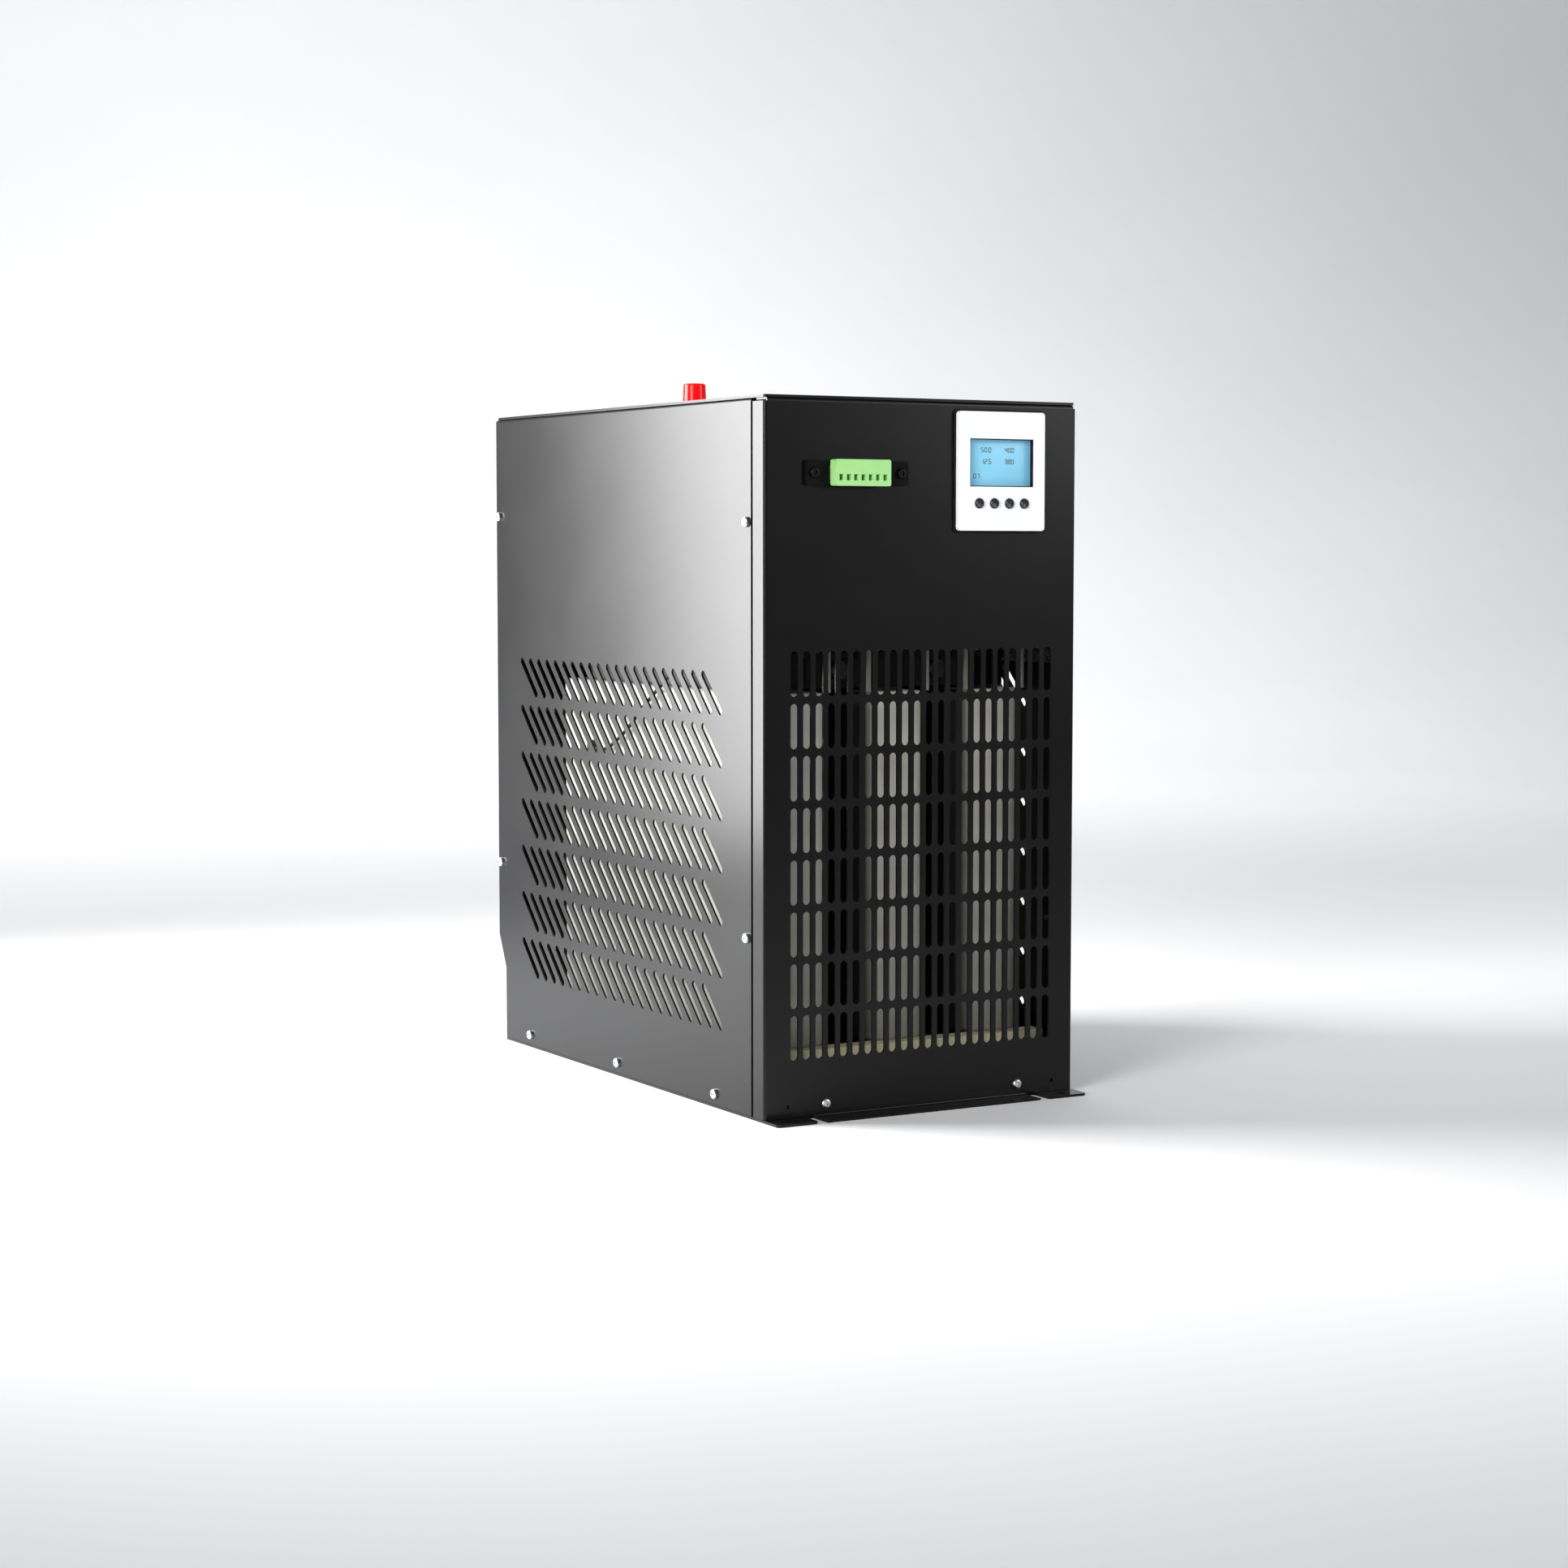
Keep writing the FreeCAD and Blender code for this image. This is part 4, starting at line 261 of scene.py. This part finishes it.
tree.links.new(shaded_tape.outputs[2], shader.inputs["Base Color"])

# A new turn of tape starts every 10 mm and stands 0.35 mm proud. The ring is drawn a little inside its CAD
# solid, which leaves the turns room.
TAPE_PITCH = 10 * MM
TAPE_STEP = 0.35 * MM
TAPE_ROOM = 1.5 * TAPE_STEP
WINDING_WALL = 10 * MM
WINDING_CORNER = 14 * MM
WINDING_ROUND = 3 * MM


def build(name, shape, finish, body, slot, *nodes, sharp=35):
    """Makes a piece of the finished mesh: smooth but for edges sharper than sharp degrees, on its body."""
    bmesh.ops.remove_doubles(shape, verts=shape.verts, dist=0.002 * MM)
    bmesh.ops.recalc_face_normals(shape, faces=shape.faces)
    data = bpy.data.meshes.new(name)
    shape.to_mesh(data)
    shape.free()
    data.materials.append(finish)
    data.polygons.foreach_set("use_smooth", [True] * len(data.polygons))
    data.set_sharp_from_angle(angle=math.radians(sharp))
    made = bpy.data.objects.new(name, data)
    bpy.context.scene.collection.objects.link(made)
    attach(made, body)
    if nodes:
        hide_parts(*nodes)


def verts_of(geometry):
    """The vertices in an operator's result."""
    return [item for item in geometry if isinstance(item, bmesh.types.BMVert)]


def edges_of(geometry):
    """The edges in an operator's result."""
    return [item for item in geometry if isinstance(item, bmesh.types.BMEdge)]


def winding_section(shape, x, y, bottom, top):
    """Upright section of the winding's wall, with round corners, that stands across the X direction."""
    section = bmesh.ops.create_grid(shape, x_segments=1, y_segments=1, size=0.5)["verts"]
    bmesh.ops.scale(shape, verts=section, vec=(WINDING_WALL, top - bottom, 1))
    bmesh.ops.rotate(shape, verts=section, cent=(0, 0, 0), matrix=Matrix.Rotation(math.pi / 2, 3, "X"))
    bmesh.ops.translate(shape, verts=section, vec=(x, y, (bottom + top) / 2))
    bmesh.ops.bevel(shape, geom=section, offset=WINDING_ROUND, segments=4, profile=0.5, affect="VERTICES",
                    material=-1)
    bmesh.ops.delete(shape, geom=list(shape.faces), context="FACES_ONLY")
    return list(shape.verts) + list(shape.edges)


def tape_run(shape, section, way, length):
    """Draws the section along a straight side and gives its far end.

    Each turn of tape stands proud after a tenth of its pitch, then thins to just below where it began.
    """
    turns = max(1, round(length / TAPE_PITCH))
    for _ in range(turns):
        for advance, swell in ((0.1, TAPE_STEP), (0.8, -TAPE_STEP / 2), (0.1, -TAPE_STEP / 2)):
            drawn = bmesh.ops.extrude_edge_only(shape, edges=edges_of(section))["geom"]
            verts = verts_of(drawn)
            section = verts + [e for e in edges_of(drawn) if all(v in verts for v in e.verts)]
            bmesh.ops.translate(shape, verts=verts, vec=Vector(way) * (advance * length / turns))
            middle = sum((v.co for v in verts), Vector()) / len(verts)
            across = 1 + 2 * swell / WINDING_WALL
            grow = Vector([1 if abs(part) > 0.5 else across for part in way])
            grow.z = 1
            bmesh.ops.scale(shape, verts=verts, vec=grow, space=Matrix.Translation(-middle))
    return section


for node in ("coil_1", "coil_2", "coil_3"):
    foot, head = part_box(node)
    room, corner = Vector((TAPE_ROOM, TAPE_ROOM, 0)), Vector((WINDING_CORNER, WINDING_CORNER, 0))
    foot, head = foot + room, head - room
    turn_low, turn_high = foot + corner, head - corner
    shape = bmesh.new()
    section = winding_section(shape, head.x - WINDING_WALL / 2, turn_low.y, foot.z, head.z)
    for way, length, pivot in (((0, 1, 0), turn_high.y - turn_low.y, (turn_high.x, turn_high.y, 0)),
                               ((-1, 0, 0), turn_high.x - turn_low.x, (turn_low.x, turn_high.y, 0)),
                               ((0, -1, 0), turn_high.y - turn_low.y, (turn_low.x, turn_low.y, 0)),
                               ((1, 0, 0), turn_high.x - turn_low.x, (turn_high.x, turn_low.y, 0))):
        section = tape_run(shape, section, way, length)
        section = bmesh.ops.spin(shape, geom=section, cent=pivot, axis=(0, 0, 1), angle=math.pi / 2,
                                 steps=8)["geom_last"]
    build(node + "_taped", shape, glass_tape, "case", "coil_tape", node, sharp=50)

# Glass-polyester laminate: cream board, mottled by its mat, with a dull sanded face.
laminate = material("glass_polyester_laminate", ("E2DCB0", "F2EDCC"), grain=4, rough=(0.45, 0.6),
                    relief=0.03, relief_size=1.5)[0]
dress(laminate, "support_bar_front", "support_bar_rear")

# Braided glass sleeving over the leads: off-white and matt, its braid drawn at 0.8 mm.
sleeving = material("glass_sleeving", ("88847A", "A09C90"), grain=3, rough=(0.6, 0.75), relief=0.08,
                    relief_size=0.8)[0]
dress(sleeving, "coil_leads")

# Soft PVC jacket: black, a little waxy.
jacket = material("cable_jacket", ("101011", "19191B"), grain=5, rough=(0.42, 0.55), relief=0.02,
                  relief_size=1)[0]
dress(jacket, "thermal_lead")


# ---------------------------------------------------------------------------------------------------------
# Power stage: an extruded heatsink bolted fins down on the shelf, three potted power modules, a glass-epoxy
# board on brass-cored spacers and four snap-in capacitors in shrink sleeves.
# ---------------------------------------------------------------------------------------------------------

# Extruded aluminium: pale grey and satin, with lines drawn along its length by the die, 0.8 mm apart.
extrusion, tree, shader, place = material("extruded_aluminium", ("A9ABAE", "C2C3C5"), grain=20,
                                          rough=(0.32, 0.46), relief=0.01, relief_size=2,
                                          settings={"Metallic": 1})
stretch = add(tree, "Mapping", {"Scale": (1, 0.02, 1)}, {"Vector": place})
drawn = add(tree, "TexNoise", {"Scale": 1 / (0.8 * MM), "Detail": 2}, {"Vector": stretch.outputs["Vector"]})
lines = add(tree, "Bump", {"Distance": 0.02 * MM}, {"Height": drawn.outputs["Fac"]})
tree.links.new(lines.outputs["Normal"], shader.inputs["Normal"])
dress(extrusion, "heatsink")

# Glass-filled moulding: charcoal, dull, with a fine spark-eroded grain.
moulding = material("glass_filled_moulding", ("1C1C1E", "262628"), grain=8, rough=(0.45, 0.6), relief=0.02,
                    relief_size=0.7)[0]
dress(moulding, "power_modules", "lead_terminals", "thermal_switch")

# Solder mask over glass epoxy: deep green and glossy, with darker and lighter patches of copper under it.
solder_mask = material("green_solder_mask", ("0B3A20", "145530"), grain=6, rough=(0.2, 0.32), relief=0.01,
                       relief_size=1, settings={"Coat Weight": 0.4})[0]
dress(solder_mask, "power_board", "control_board", "display_board")

# Shrink sleeve: dark blue PVC, drawn tight and glossy.
sleeve = material("shrink_sleeve", ("10183A", "18224A"), grain=15, rough=(0.22, 0.34), relief=0.01,
                  relief_size=2)[0]


def turned(shape, profile, place, steps=32):
    """Round part: spins (radius, height) points, in mm, about the upright line, then moves it into place."""
    before = set(shape.verts)
    verts = [shape.verts.new((radius * MM, 0, height * MM)) for radius, height in profile]
    edges = [shape.edges.new(pair) for pair in zip(verts, verts[1:])]
    bmesh.ops.spin(shape, geom=verts + edges, cent=(0, 0, 0), axis=(0, 0, 1), angle=2 * math.pi, steps=steps,
                   use_merge=True)
    bmesh.ops.transform(shape, matrix=place, verts=[v for v in shape.verts if v not in before])


def block(shape, size, centre, rounding=0):
    """Box with rounded edges; size and rounding in mm, its centre in metres."""
    verts = bmesh.ops.create_cube(shape, size=MM)["verts"]
    bmesh.ops.scale(shape, verts=verts, vec=size)
    bmesh.ops.translate(shape, verts=verts, vec=centre)
    if rounding:
        corners = list(dict.fromkeys(edge for vert in verts for edge in vert.link_edges))
        bmesh.ops.bevel(shape, geom=corners, offset=rounding * MM, segments=2, profile=0.5, affect="EDGES",
                        material=-1)


def merge_in(shape, part):
    """Adds a part that was shaped on its own, and frees it."""
    stamp = bpy.data.meshes.new("part")
    part.to_mesh(stamp)
    part.free()
    shape.from_mesh(stamp)
    bpy.data.meshes.remove(stamp)


# Each capacitor is an aluminium can, rolled in below its top, in a sleeve that curls over the rim. Its top is
# scored with a cross, where it opens if the pressure rises. Sizes are in mm, and the cans stand in one row.
CANS = 4
CAN_RADIUS, CAN_FOOT, CAN_CURL, CAN_RIM, CAN_RECESS = 15, 1, 0.9, 3, 0.6
GROOVE_DOWN, GROOVE_HALF = 6, 1.5
LID_GAP, LID_CHAMFER, LID_SIDE, LID_DOWN = 0.1, 0.5, 0.3, 0.1
SCORE_LONG, SCORE_WIDE, SCORE_TALL = 14, 0.5, 0.1
foot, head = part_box("dc_capacitors")
tall = (head.z - foot.z) / MM
groove, opening, lid = tall - GROOVE_DOWN, CAN_RADIUS - CAN_RIM, CAN_RADIUS - CAN_RIM - LID_GAP
reach = head.x - foot.x - 2 * CAN_RADIUS * MM
can_sleeves, can_tops = bmesh.new(), bmesh.new()
for k in range(CANS):
    across = (foot.x + head.x) / 2 + reach * (k / (CANS - 1) - 0.5)
    place = Matrix.Translation((across, (foot.y + head.y) / 2, foot.z))
    turned(can_sleeves, [(0, 0), (CAN_RADIUS - CAN_FOOT, 0), (CAN_RADIUS, CAN_FOOT),
                         (CAN_RADIUS, groove - GROOVE_HALF), (CAN_RADIUS - CAN_CURL, groove),
                         (CAN_RADIUS, groove + GROOVE_HALF), (CAN_RADIUS, tall - CAN_FOOT),
                         (CAN_RADIUS - CAN_CURL, tall), (opening, tall), (opening, tall - CAN_RECESS),
                         (0, tall - CAN_RECESS)], place)
    turned(can_tops, [(0, tall - CAN_RECESS), (lid, tall - CAN_RECESS), (lid, tall - LID_SIDE),
                      (lid - LID_CHAMFER, tall - LID_DOWN), (0, tall - LID_DOWN)], place)
    for turn in (0, math.pi / 2):
        score = bmesh.new()
        block(score, (SCORE_LONG, SCORE_WIDE, SCORE_TALL), (0, 0, 0))
        bmesh.ops.transform(score, matrix=place @ Matrix.Translation((0, 0, (tall - SCORE_TALL / 2) * MM))
                            @ Matrix.Rotation(turn, 4, "Z"), verts=score.verts)
        merge_in(can_tops, score)
build("capacitor_sleeves", can_sleeves, sleeve, "case", "capacitor_sleeve", "dc_capacitors")
build("capacitor_tops", can_tops, extrusion, "case", "bare_aluminium")

# Parts on the power board, in mm from its front edge: relays, film capacitors, driver chips on bent legs and
# signal sockets.
RELAY, RELAY_PITCH, RELAY_IN = (22, 28, 15), 34, 20
FILM, FILM_ROWS = (26, 9, 17), (46, 60)
CHIP, CHIP_PITCH, CHIP_ROWS, CHIP_MIDDLE = (10, 6, 2), 26, (84, 102), 1.3
LEG, LEG_PITCH, LEG_OUT, LEG_MIDDLE = (0.5, 1.6, 0.4), 1.3, 3.6, 0.25
SOCKET, SOCKET_IN, SOCKET_ROWS = (6, 18, 7), 9, (80, 104)
board_low, board_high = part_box("power_board")
middle = (board_low + board_high) / 2
relays, film, chips, sockets = bmesh.new(), bmesh.new(), bmesh.new(), bmesh.new()
for k in range(3):
    across = middle.x + (k - 1) * RELAY_PITCH * MM
    block(relays, RELAY, (across, board_low.y + RELAY_IN * MM, board_high.z + RELAY[2] / 2 * MM), 0.8)
    for row in FILM_ROWS:
        block(film, FILM, (across, board_low.y + row * MM, board_high.z + FILM[2] / 2 * MM), 1.2)
for row in CHIP_ROWS:
    for k in range(4):
        spot = Vector((middle.x + (k - 1.5) * CHIP_PITCH * MM, board_low.y + row * MM, board_high.z))
        block(chips, CHIP, spot + Vector((0, 0, CHIP_MIDDLE * MM)), 0.3)
        for leg in range(-3, 4):
            for side in (-1, 1):
                block(chips, LEG, spot + Vector((leg * LEG_PITCH, side * LEG_OUT, LEG_MIDDLE)) * MM)
for row in SOCKET_ROWS:
    spot = Vector((board_low.x + SOCKET_IN * MM, board_low.y + row * MM, board_high.z))
    block(sockets, SOCKET, spot + Vector((0, 0, SOCKET[2] / 2 * MM)), 0.5)
build("power_relays", relays, moulding, "case", "module_plastic")
build("driver_chips", chips, moulding, "case", "module_plastic")

# Grey nylon: the potted boxes of the film capacitors and the terminal block, dull with a fine grain.
grey_nylon = material("grey_nylon", ("5E6063", "6C6E71"), grain=10, rough=(0.42, 0.55), relief=0.02,
                      relief_size=0.9)[0]
build("film_capacitors", film, grey_nylon, "case", "grey_plastic")

# Moulded ABS: cool white and satin, with a very fine spark-eroded grain.
white_abs = material("white_abs", ("EDEEF0", "F7F7F8"), grain=25, rough=(0.38, 0.5), relief=0.01,
                     relief_size=0.8)[0]
build("board_sockets", sockets, white_abs, "case", "white_plastic")

# Parts on the inner side of the upright control board, in mm: chips, each given by its place from the board's
# middle and its width and height, and a row of crystals.
LOGIC = ((0, 6, 16, 16), (-26, 10, 9, 12), (26, 12, 12, 7), (-24, -18, 12, 7), (22, -14, 8, 8))
LOGIC_THICK = 1.6
CRYSTAL, CRYSTAL_PITCH, CRYSTAL_UP = (4, 2.4, 9), 14, 12
board_low, board_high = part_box("control_board")
middle = (board_low + board_high) / 2
logic, crystals = bmesh.new(), bmesh.new()
for across, up, wide, tall in LOGIC:
    block(logic, (wide, LOGIC_THICK, tall),
          (middle.x + across * MM, board_high.y + LOGIC_THICK / 2 * MM, middle.z + up * MM), 0.25)
for k in range(3):
    block(crystals, CRYSTAL, (middle.x + (k - 1) * CRYSTAL_PITCH * MM, board_high.y + CRYSTAL[1] / 2 * MM,
                              board_low.z + CRYSTAL_UP * MM), 0.8)
build("logic_chips", logic, moulding, "case", "module_plastic")
build("board_crystals", crystals, zinc_plate, "case", "tin")


# ---------------------------------------------------------------------------------------------------------
# Fan: a 120 mm axial fan, its frame and seven-bladed rotor moulded in glass-filled nylon. Its four corners
# are screwed behind the rear panel's slots, and the rotor turns on the motor in its hub.
# ---------------------------------------------------------------------------------------------------------

# Glass-filled nylon: black with a grey bloom, satin.
nylon = material("glass_filled_nylon", ("111112", "1C1C1D"), grain=10, rough=(0.4, 0.55), relief=0.02,
                 relief_size=0.8)[0]
dress(nylon, "fan_frame")

# A blade widens and flattens towards its tip, and is cambered and swept forward. Out runs from 0 at its root
# to 1 at its tip, and chord from -0.5 to 0.5 across it. Sizes are in mm, the chord and the sweep in radians.
BLADES, BLADE_TIP, BLADE_THICK, BLADE_MIDDLE, BLADE_ROOTED = 7, 53.5, 1.3, 14.5, 0.6
CHORD, CHORD_LOSS, SWEPT, CAMBER = 0.75, 0.1, 0.28, 2
RISE, RISE_LOSS = 15, 5
HUB_RADIUS, HUB_DEEP, HUB_FRONT, HUB_CHAMFER = 19, 19, 1, 1.5
BORE_RADIUS, BORE_DEEP = 2.8, 4.5
HUB_LIP, HUB_TAPER, HUB_BACK = 2.4, 2, 4
foot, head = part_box("fan_rotor")
rotor = bmesh.new()
turned(rotor, [(0, HUB_FRONT), (BORE_RADIUS, HUB_FRONT), (BORE_RADIUS, HUB_FRONT + BORE_DEEP),
               (HUB_RADIUS - HUB_CHAMFER, HUB_FRONT + BORE_DEEP),
               (HUB_RADIUS, HUB_FRONT + BORE_DEEP + HUB_CHAMFER),
               (HUB_RADIUS, HUB_FRONT + HUB_DEEP + HUB_LIP),
               (HUB_RADIUS - HUB_TAPER, HUB_FRONT + HUB_DEEP + HUB_BACK),
               (0, HUB_FRONT + HUB_DEEP + HUB_BACK)], Matrix(), 48)
for k in range(BLADES):
    blade = bmesh.new()
    bmesh.ops.create_grid(blade, x_segments=8, y_segments=6, size=0.5)
    for v in blade.verts:
        out, chord = v.co.x + 0.5, v.co.y
        radius = HUB_RADIUS - BLADE_ROOTED + out * (BLADE_TIP - HUB_RADIUS + BLADE_ROOTED)
        turn = chord * (CHORD - CHORD_LOSS * out) + SWEPT * out ** 2
        climb = HUB_FRONT + BLADE_MIDDLE - chord * (RISE - RISE_LOSS * out) + CAMBER * (chord ** 2 - 0.25)
        v.co = Vector((radius * math.cos(turn), radius * math.sin(turn), climb)) * MM
    bmesh.ops.solidify(blade, geom=list(blade.faces), thickness=BLADE_THICK * MM)
    bmesh.ops.rotate(blade, verts=blade.verts, cent=(0, 0, 0),
                     matrix=Matrix.Rotation(2 * math.pi * k / BLADES, 3, "Z"))
    merge_in(rotor, blade)

# Turns a part that was shaped upright until its top faces forward.
lay_back = Matrix.Rotation(math.pi / 2, 4, "X")
bmesh.ops.transform(rotor, matrix=Matrix.Translation(((foot.x + head.x) / 2, head.y, (foot.z + head.z) / 2))
                    @ lay_back, verts=rotor.verts)
build("fan_impeller", rotor, nylon, "rotor", "fan_plastic", "fan_rotor")


# ---------------------------------------------------------------------------------------------------------
# Rear connections: four string connectors of moulded polyamide, a grey nylon terminal block for the mains and
# a turned brass stud for the earth, all fixed on the rear panel.
# ---------------------------------------------------------------------------------------------------------

dress(grey_nylon, "ac_terminal_block")

# Turned brass: warm yellow and bright, with fine tool marks.
brass = material("turned_brass", ("B08D48", "C9A860"), grain=3, rough=(0.22, 0.35), relief=0.01,
                 relief_size=0.4, settings={"Metallic": 1})[0]
dress(brass, "earth_stud")

# Moulded polyamide: black and slightly glossy.
polyamide = material("black_polyamide", ("0C0C0D", "141415"), grain=8, rough=(0.32, 0.45), relief=0.01,
                     relief_size=0.8)[0]
dress(polyamide, "lamp_body", "dc_connectors", "button_switches")


# ---------------------------------------------------------------------------------------------------------
# Display unit: a white moulded bezel on a rubber gasket, a clear lens over the liquid-crystal panel, and
# four black keys.
# ---------------------------------------------------------------------------------------------------------

dress(white_abs, "display_bezel")

# Moulded rubber: dead black, matt and slightly powdery.
rubber = material("black_rubber", ("060606", "0B0B0B"), grain=6, rough=(0.7, 0.85), relief=0.02,
                  relief_size=0.8, settings={"Specular IOR Level": 0.25})[0]
dress(rubber, "display_gasket")

# Clear acrylic: hardly seen but for the gloss of its polished face.
clear_lens = material("clear_acrylic", ("F2F8FB", "FFFFFF"), grain=30, rough=(0.04, 0.08), relief=0.001,
                      relief_size=4, settings={"Alpha": 0.05, "IOR": 1.49})[0]
dress(clear_lens, "display_window")

# The lip of the gasket folds forward and lines the window's opening.
WINDOW_WIDE, WINDOW_TALL, LIP_WALL, LIP_DEEP = 43, 27, 0.5, 2.3
LIP_SLACK, LIP_LIFT = 0.04, 0.05
window_low, window_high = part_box("display_window")
window_middle = (window_low + window_high) / 2
lip = bmesh.new()
bmesh.ops.create_grid(lip, x_segments=1, y_segments=1, size=0.5 * MM)
bmesh.ops.scale(lip, verts=lip.verts, vec=(WINDOW_WIDE - LIP_SLACK, WINDOW_TALL - LIP_SLACK, 1))
opening = list(lip.faces)
bmesh.ops.inset_individual(lip, faces=opening, thickness=LIP_WALL * MM, use_even_offset=True)
bmesh.ops.delete(lip, geom=opening, context="FACES_ONLY")
drawn = bmesh.ops.extrude_face_region(lip, geom=list(lip.faces), use_keep_orig=True)["geom"]
bmesh.ops.translate(lip, verts=verts_of(drawn), vec=(0, 0, LIP_DEEP * MM))
bmesh.ops.transform(lip, matrix=Matrix.Translation((window_middle.x, window_low.y - LIP_LIFT * MM,
                                                    window_middle.z)) @ lay_back, verts=lip.verts)
build("window_lip", lip, rubber, "case", "black_rubber")

# Each key has a moulded collar behind the bezel, a chamfered rim and a shallow dish for the fingertip, given
# as radii and depths in mm.
COLLAR_RADIUS, COLLAR_THICK, KEY_RADIUS, RIM_RADIUS, RIM_DEEP = 3.5, 1, 2.8, 2.35, 0.45
DISH = ((1.9, 0.05), (1.2, 0.3), (0, 0.38))
for k in range(1, 5):
    node = "button_%d" % k
    foot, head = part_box(node)
    tall = (head.y - foot.y) / MM
    key = bmesh.new()
    turned(key, [(0, 0), (COLLAR_RADIUS, 0), (COLLAR_RADIUS, COLLAR_THICK), (KEY_RADIUS, COLLAR_THICK),
                 (KEY_RADIUS, tall - RIM_DEEP), (RIM_RADIUS, tall)]
           + [(radius, tall - deep) for radius, deep in DISH],
           Matrix.Translation(((foot.x + head.x) / 2, head.y, (foot.z + head.z) / 2)) @ lay_back, 40)
    build("key_%d" % k, key, polyamide, node, "black_plastic", node, sharp=25)

# The panel glows through its light guide: pale cyan, a little deeper towards the far side.
lcd, tree, shader, place = material("liquid_crystal_panel", ("62B2D2", "74C0DC"), grain=9, rough=(0.3, 0.4),
                                    relief=0.001, relief_size=1,
                                    settings={"Emission Strength": 0.26, "Specular IOR Level": 0.3})
glass_low, glass_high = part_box("display_glass")
guide = add(tree, "SeparateXYZ", {}, {0: place})
fall = add(tree, "MapRange", {"From Min": glass_low.x, "From Max": glass_high.x},
           {"Value": guide.outputs["X"]})
glow = add(tree, "Mix", {"data_type": "RGBA", 6: linear("7CCCEA"), 7: linear("58A8CE")},
           {0: fall.outputs["Result"]})
tree.links.new(glow.outputs[2], shader.inputs["Emission Color"])
INK_THICK = 0.1
panel = bmesh.new()
middle = (glass_low + glass_high) / 2 + Vector((0, INK_THICK * MM / 2, 0))
block(panel, ((glass_high.x - glass_low.x) / MM, (glass_high.y - glass_low.y) / MM - INK_THICK,
              (glass_high.z - glass_low.z) / MM), middle, 0.05)
build("display_panel", panel, lcd, "case", "display_glass", "display_glass")

# Seven-segment figures: dark blue crystal over the glow, three rows of plain readings. Each reading starts at
# its place from the window's middle, in parts of the window's width and height.
ink = material("display_segments", ("12303F", "1B4154"), grain=2, rough=(0.3, 0.4), relief=0.001,
               relief_size=1)[0]
SEGMENTS = {"0": "abcdef", "1": "bc", "2": "abged", "3": "abgcd", "4": "fgbc", "5": "afgcd", "6": "afgedc",
            "7": "abc", "8": "abcdefg", "9": "abcdfg"}
FIGURE_WIDE, FIGURE_TALL, FIGURE_GAP, STROKE = 1.45, 2.5, 0.85, 0.46
BARS = {"a": (0, 1, 1), "b": (1, 0.5, 0), "c": (1, -0.5, 0), "d": (0, -1, 1), "e": (-1, -0.5, 0),
        "f": (-1, 0.5, 0), "g": (0, 0, 1)}
READINGS = ((-0.25, 0.27, "50.0"), (0.12, 0.27, "400"), (-0.25, 0.03, "12.5"), (0.12, 0.03, "380"),
            (-0.37, -0.28, "07"))
figures = bmesh.new()
for across, up, text in READINGS:
    pen = Vector((window_middle.x + across * WINDOW_WIDE * MM, glass_low.y + INK_THICK * MM / 2,
                  window_middle.z + up * WINDOW_TALL * MM))
    for sign in text:
        if sign == ".":
            block(figures, (STROKE, INK_THICK, STROKE),
                  pen + Vector((-FIGURE_GAP / 2, 0, -FIGURE_TALL / 2)) * MM)
            pen.x += STROKE * MM
            continue
        for bar in SEGMENTS[sign]:
            side, level, flat = BARS[bar]
            size = (FIGURE_WIDE - STROKE, INK_THICK, STROKE) if flat else (
                STROKE, INK_THICK, FIGURE_TALL / 2 - STROKE / 2)
            block(figures, size, pen + Vector((side * FIGURE_WIDE / 2, 0, level * FIGURE_TALL / 2)) * MM)
        pen.x += (FIGURE_WIDE + FIGURE_GAP) * MM
build("display_figures", figures, ink, "case", "display_glass")


# ---------------------------------------------------------------------------------------------------------
# Signal terminal: a black polyamide header with seven tinned pins, held to the panel by a screw in each end.
# The green nylon plug slides onto the pins, and takes a wire in each of its seven entries.
# ---------------------------------------------------------------------------------------------------------

# Glass-filled polyamide: dead black and dull, which takes up the light round the plug.
dull_polyamide = material("dull_black_polyamide", ("040404", "070707"), grain=8, rough=(0.6, 0.75),
                          relief=0.01, relief_size=0.8, settings={"Specular IOR Level": 0.12})[0]
dress(dull_polyamide, "terminal_header")

# Green nylon: pale, a little translucent at its edges, with a moulded satin face.
green_nylon = material("green_nylon", ("98D580", "A8E08F"), grain=12, rough=(0.35, 0.5), relief=0.01,
                       relief_size=0.9, settings={"Subsurface Weight": 0.1, "Subsurface Scale": 0.002})[0]
dress(green_nylon, "terminal_plug")

# Tin plate over brass: warm silver and bright.
tin = material("tin_plate", ("BDB9AE", "D2CFC6"), grain=2, rough=(0.2, 0.32), relief=0.01, relief_size=0.4,
               settings={"Metallic": 1})[0]
dress(tin, "header_pins")


# ---------------------------------------------------------------------------------------------------------
# Pilot lamp: a red polycarbonate lens on a black moulded body, which passes through a hole in the cover and
# is held by a plated nut.
# ---------------------------------------------------------------------------------------------------------

# Red polycarbonate: clear deep red, lit from inside, with a hard bright line down its side.
red_lens = material("red_polycarbonate", ("CE0706", "DC0B09"), grain=10, rough=(0.12, 0.2), relief=0.005,
                    relief_size=1.5,
                    settings={"Specular IOR Level": 0.2, "Emission Color": linear("FF0C0C"),
                              "Emission Strength": 0.3})[0]
dress(red_lens, "lamp_lens")
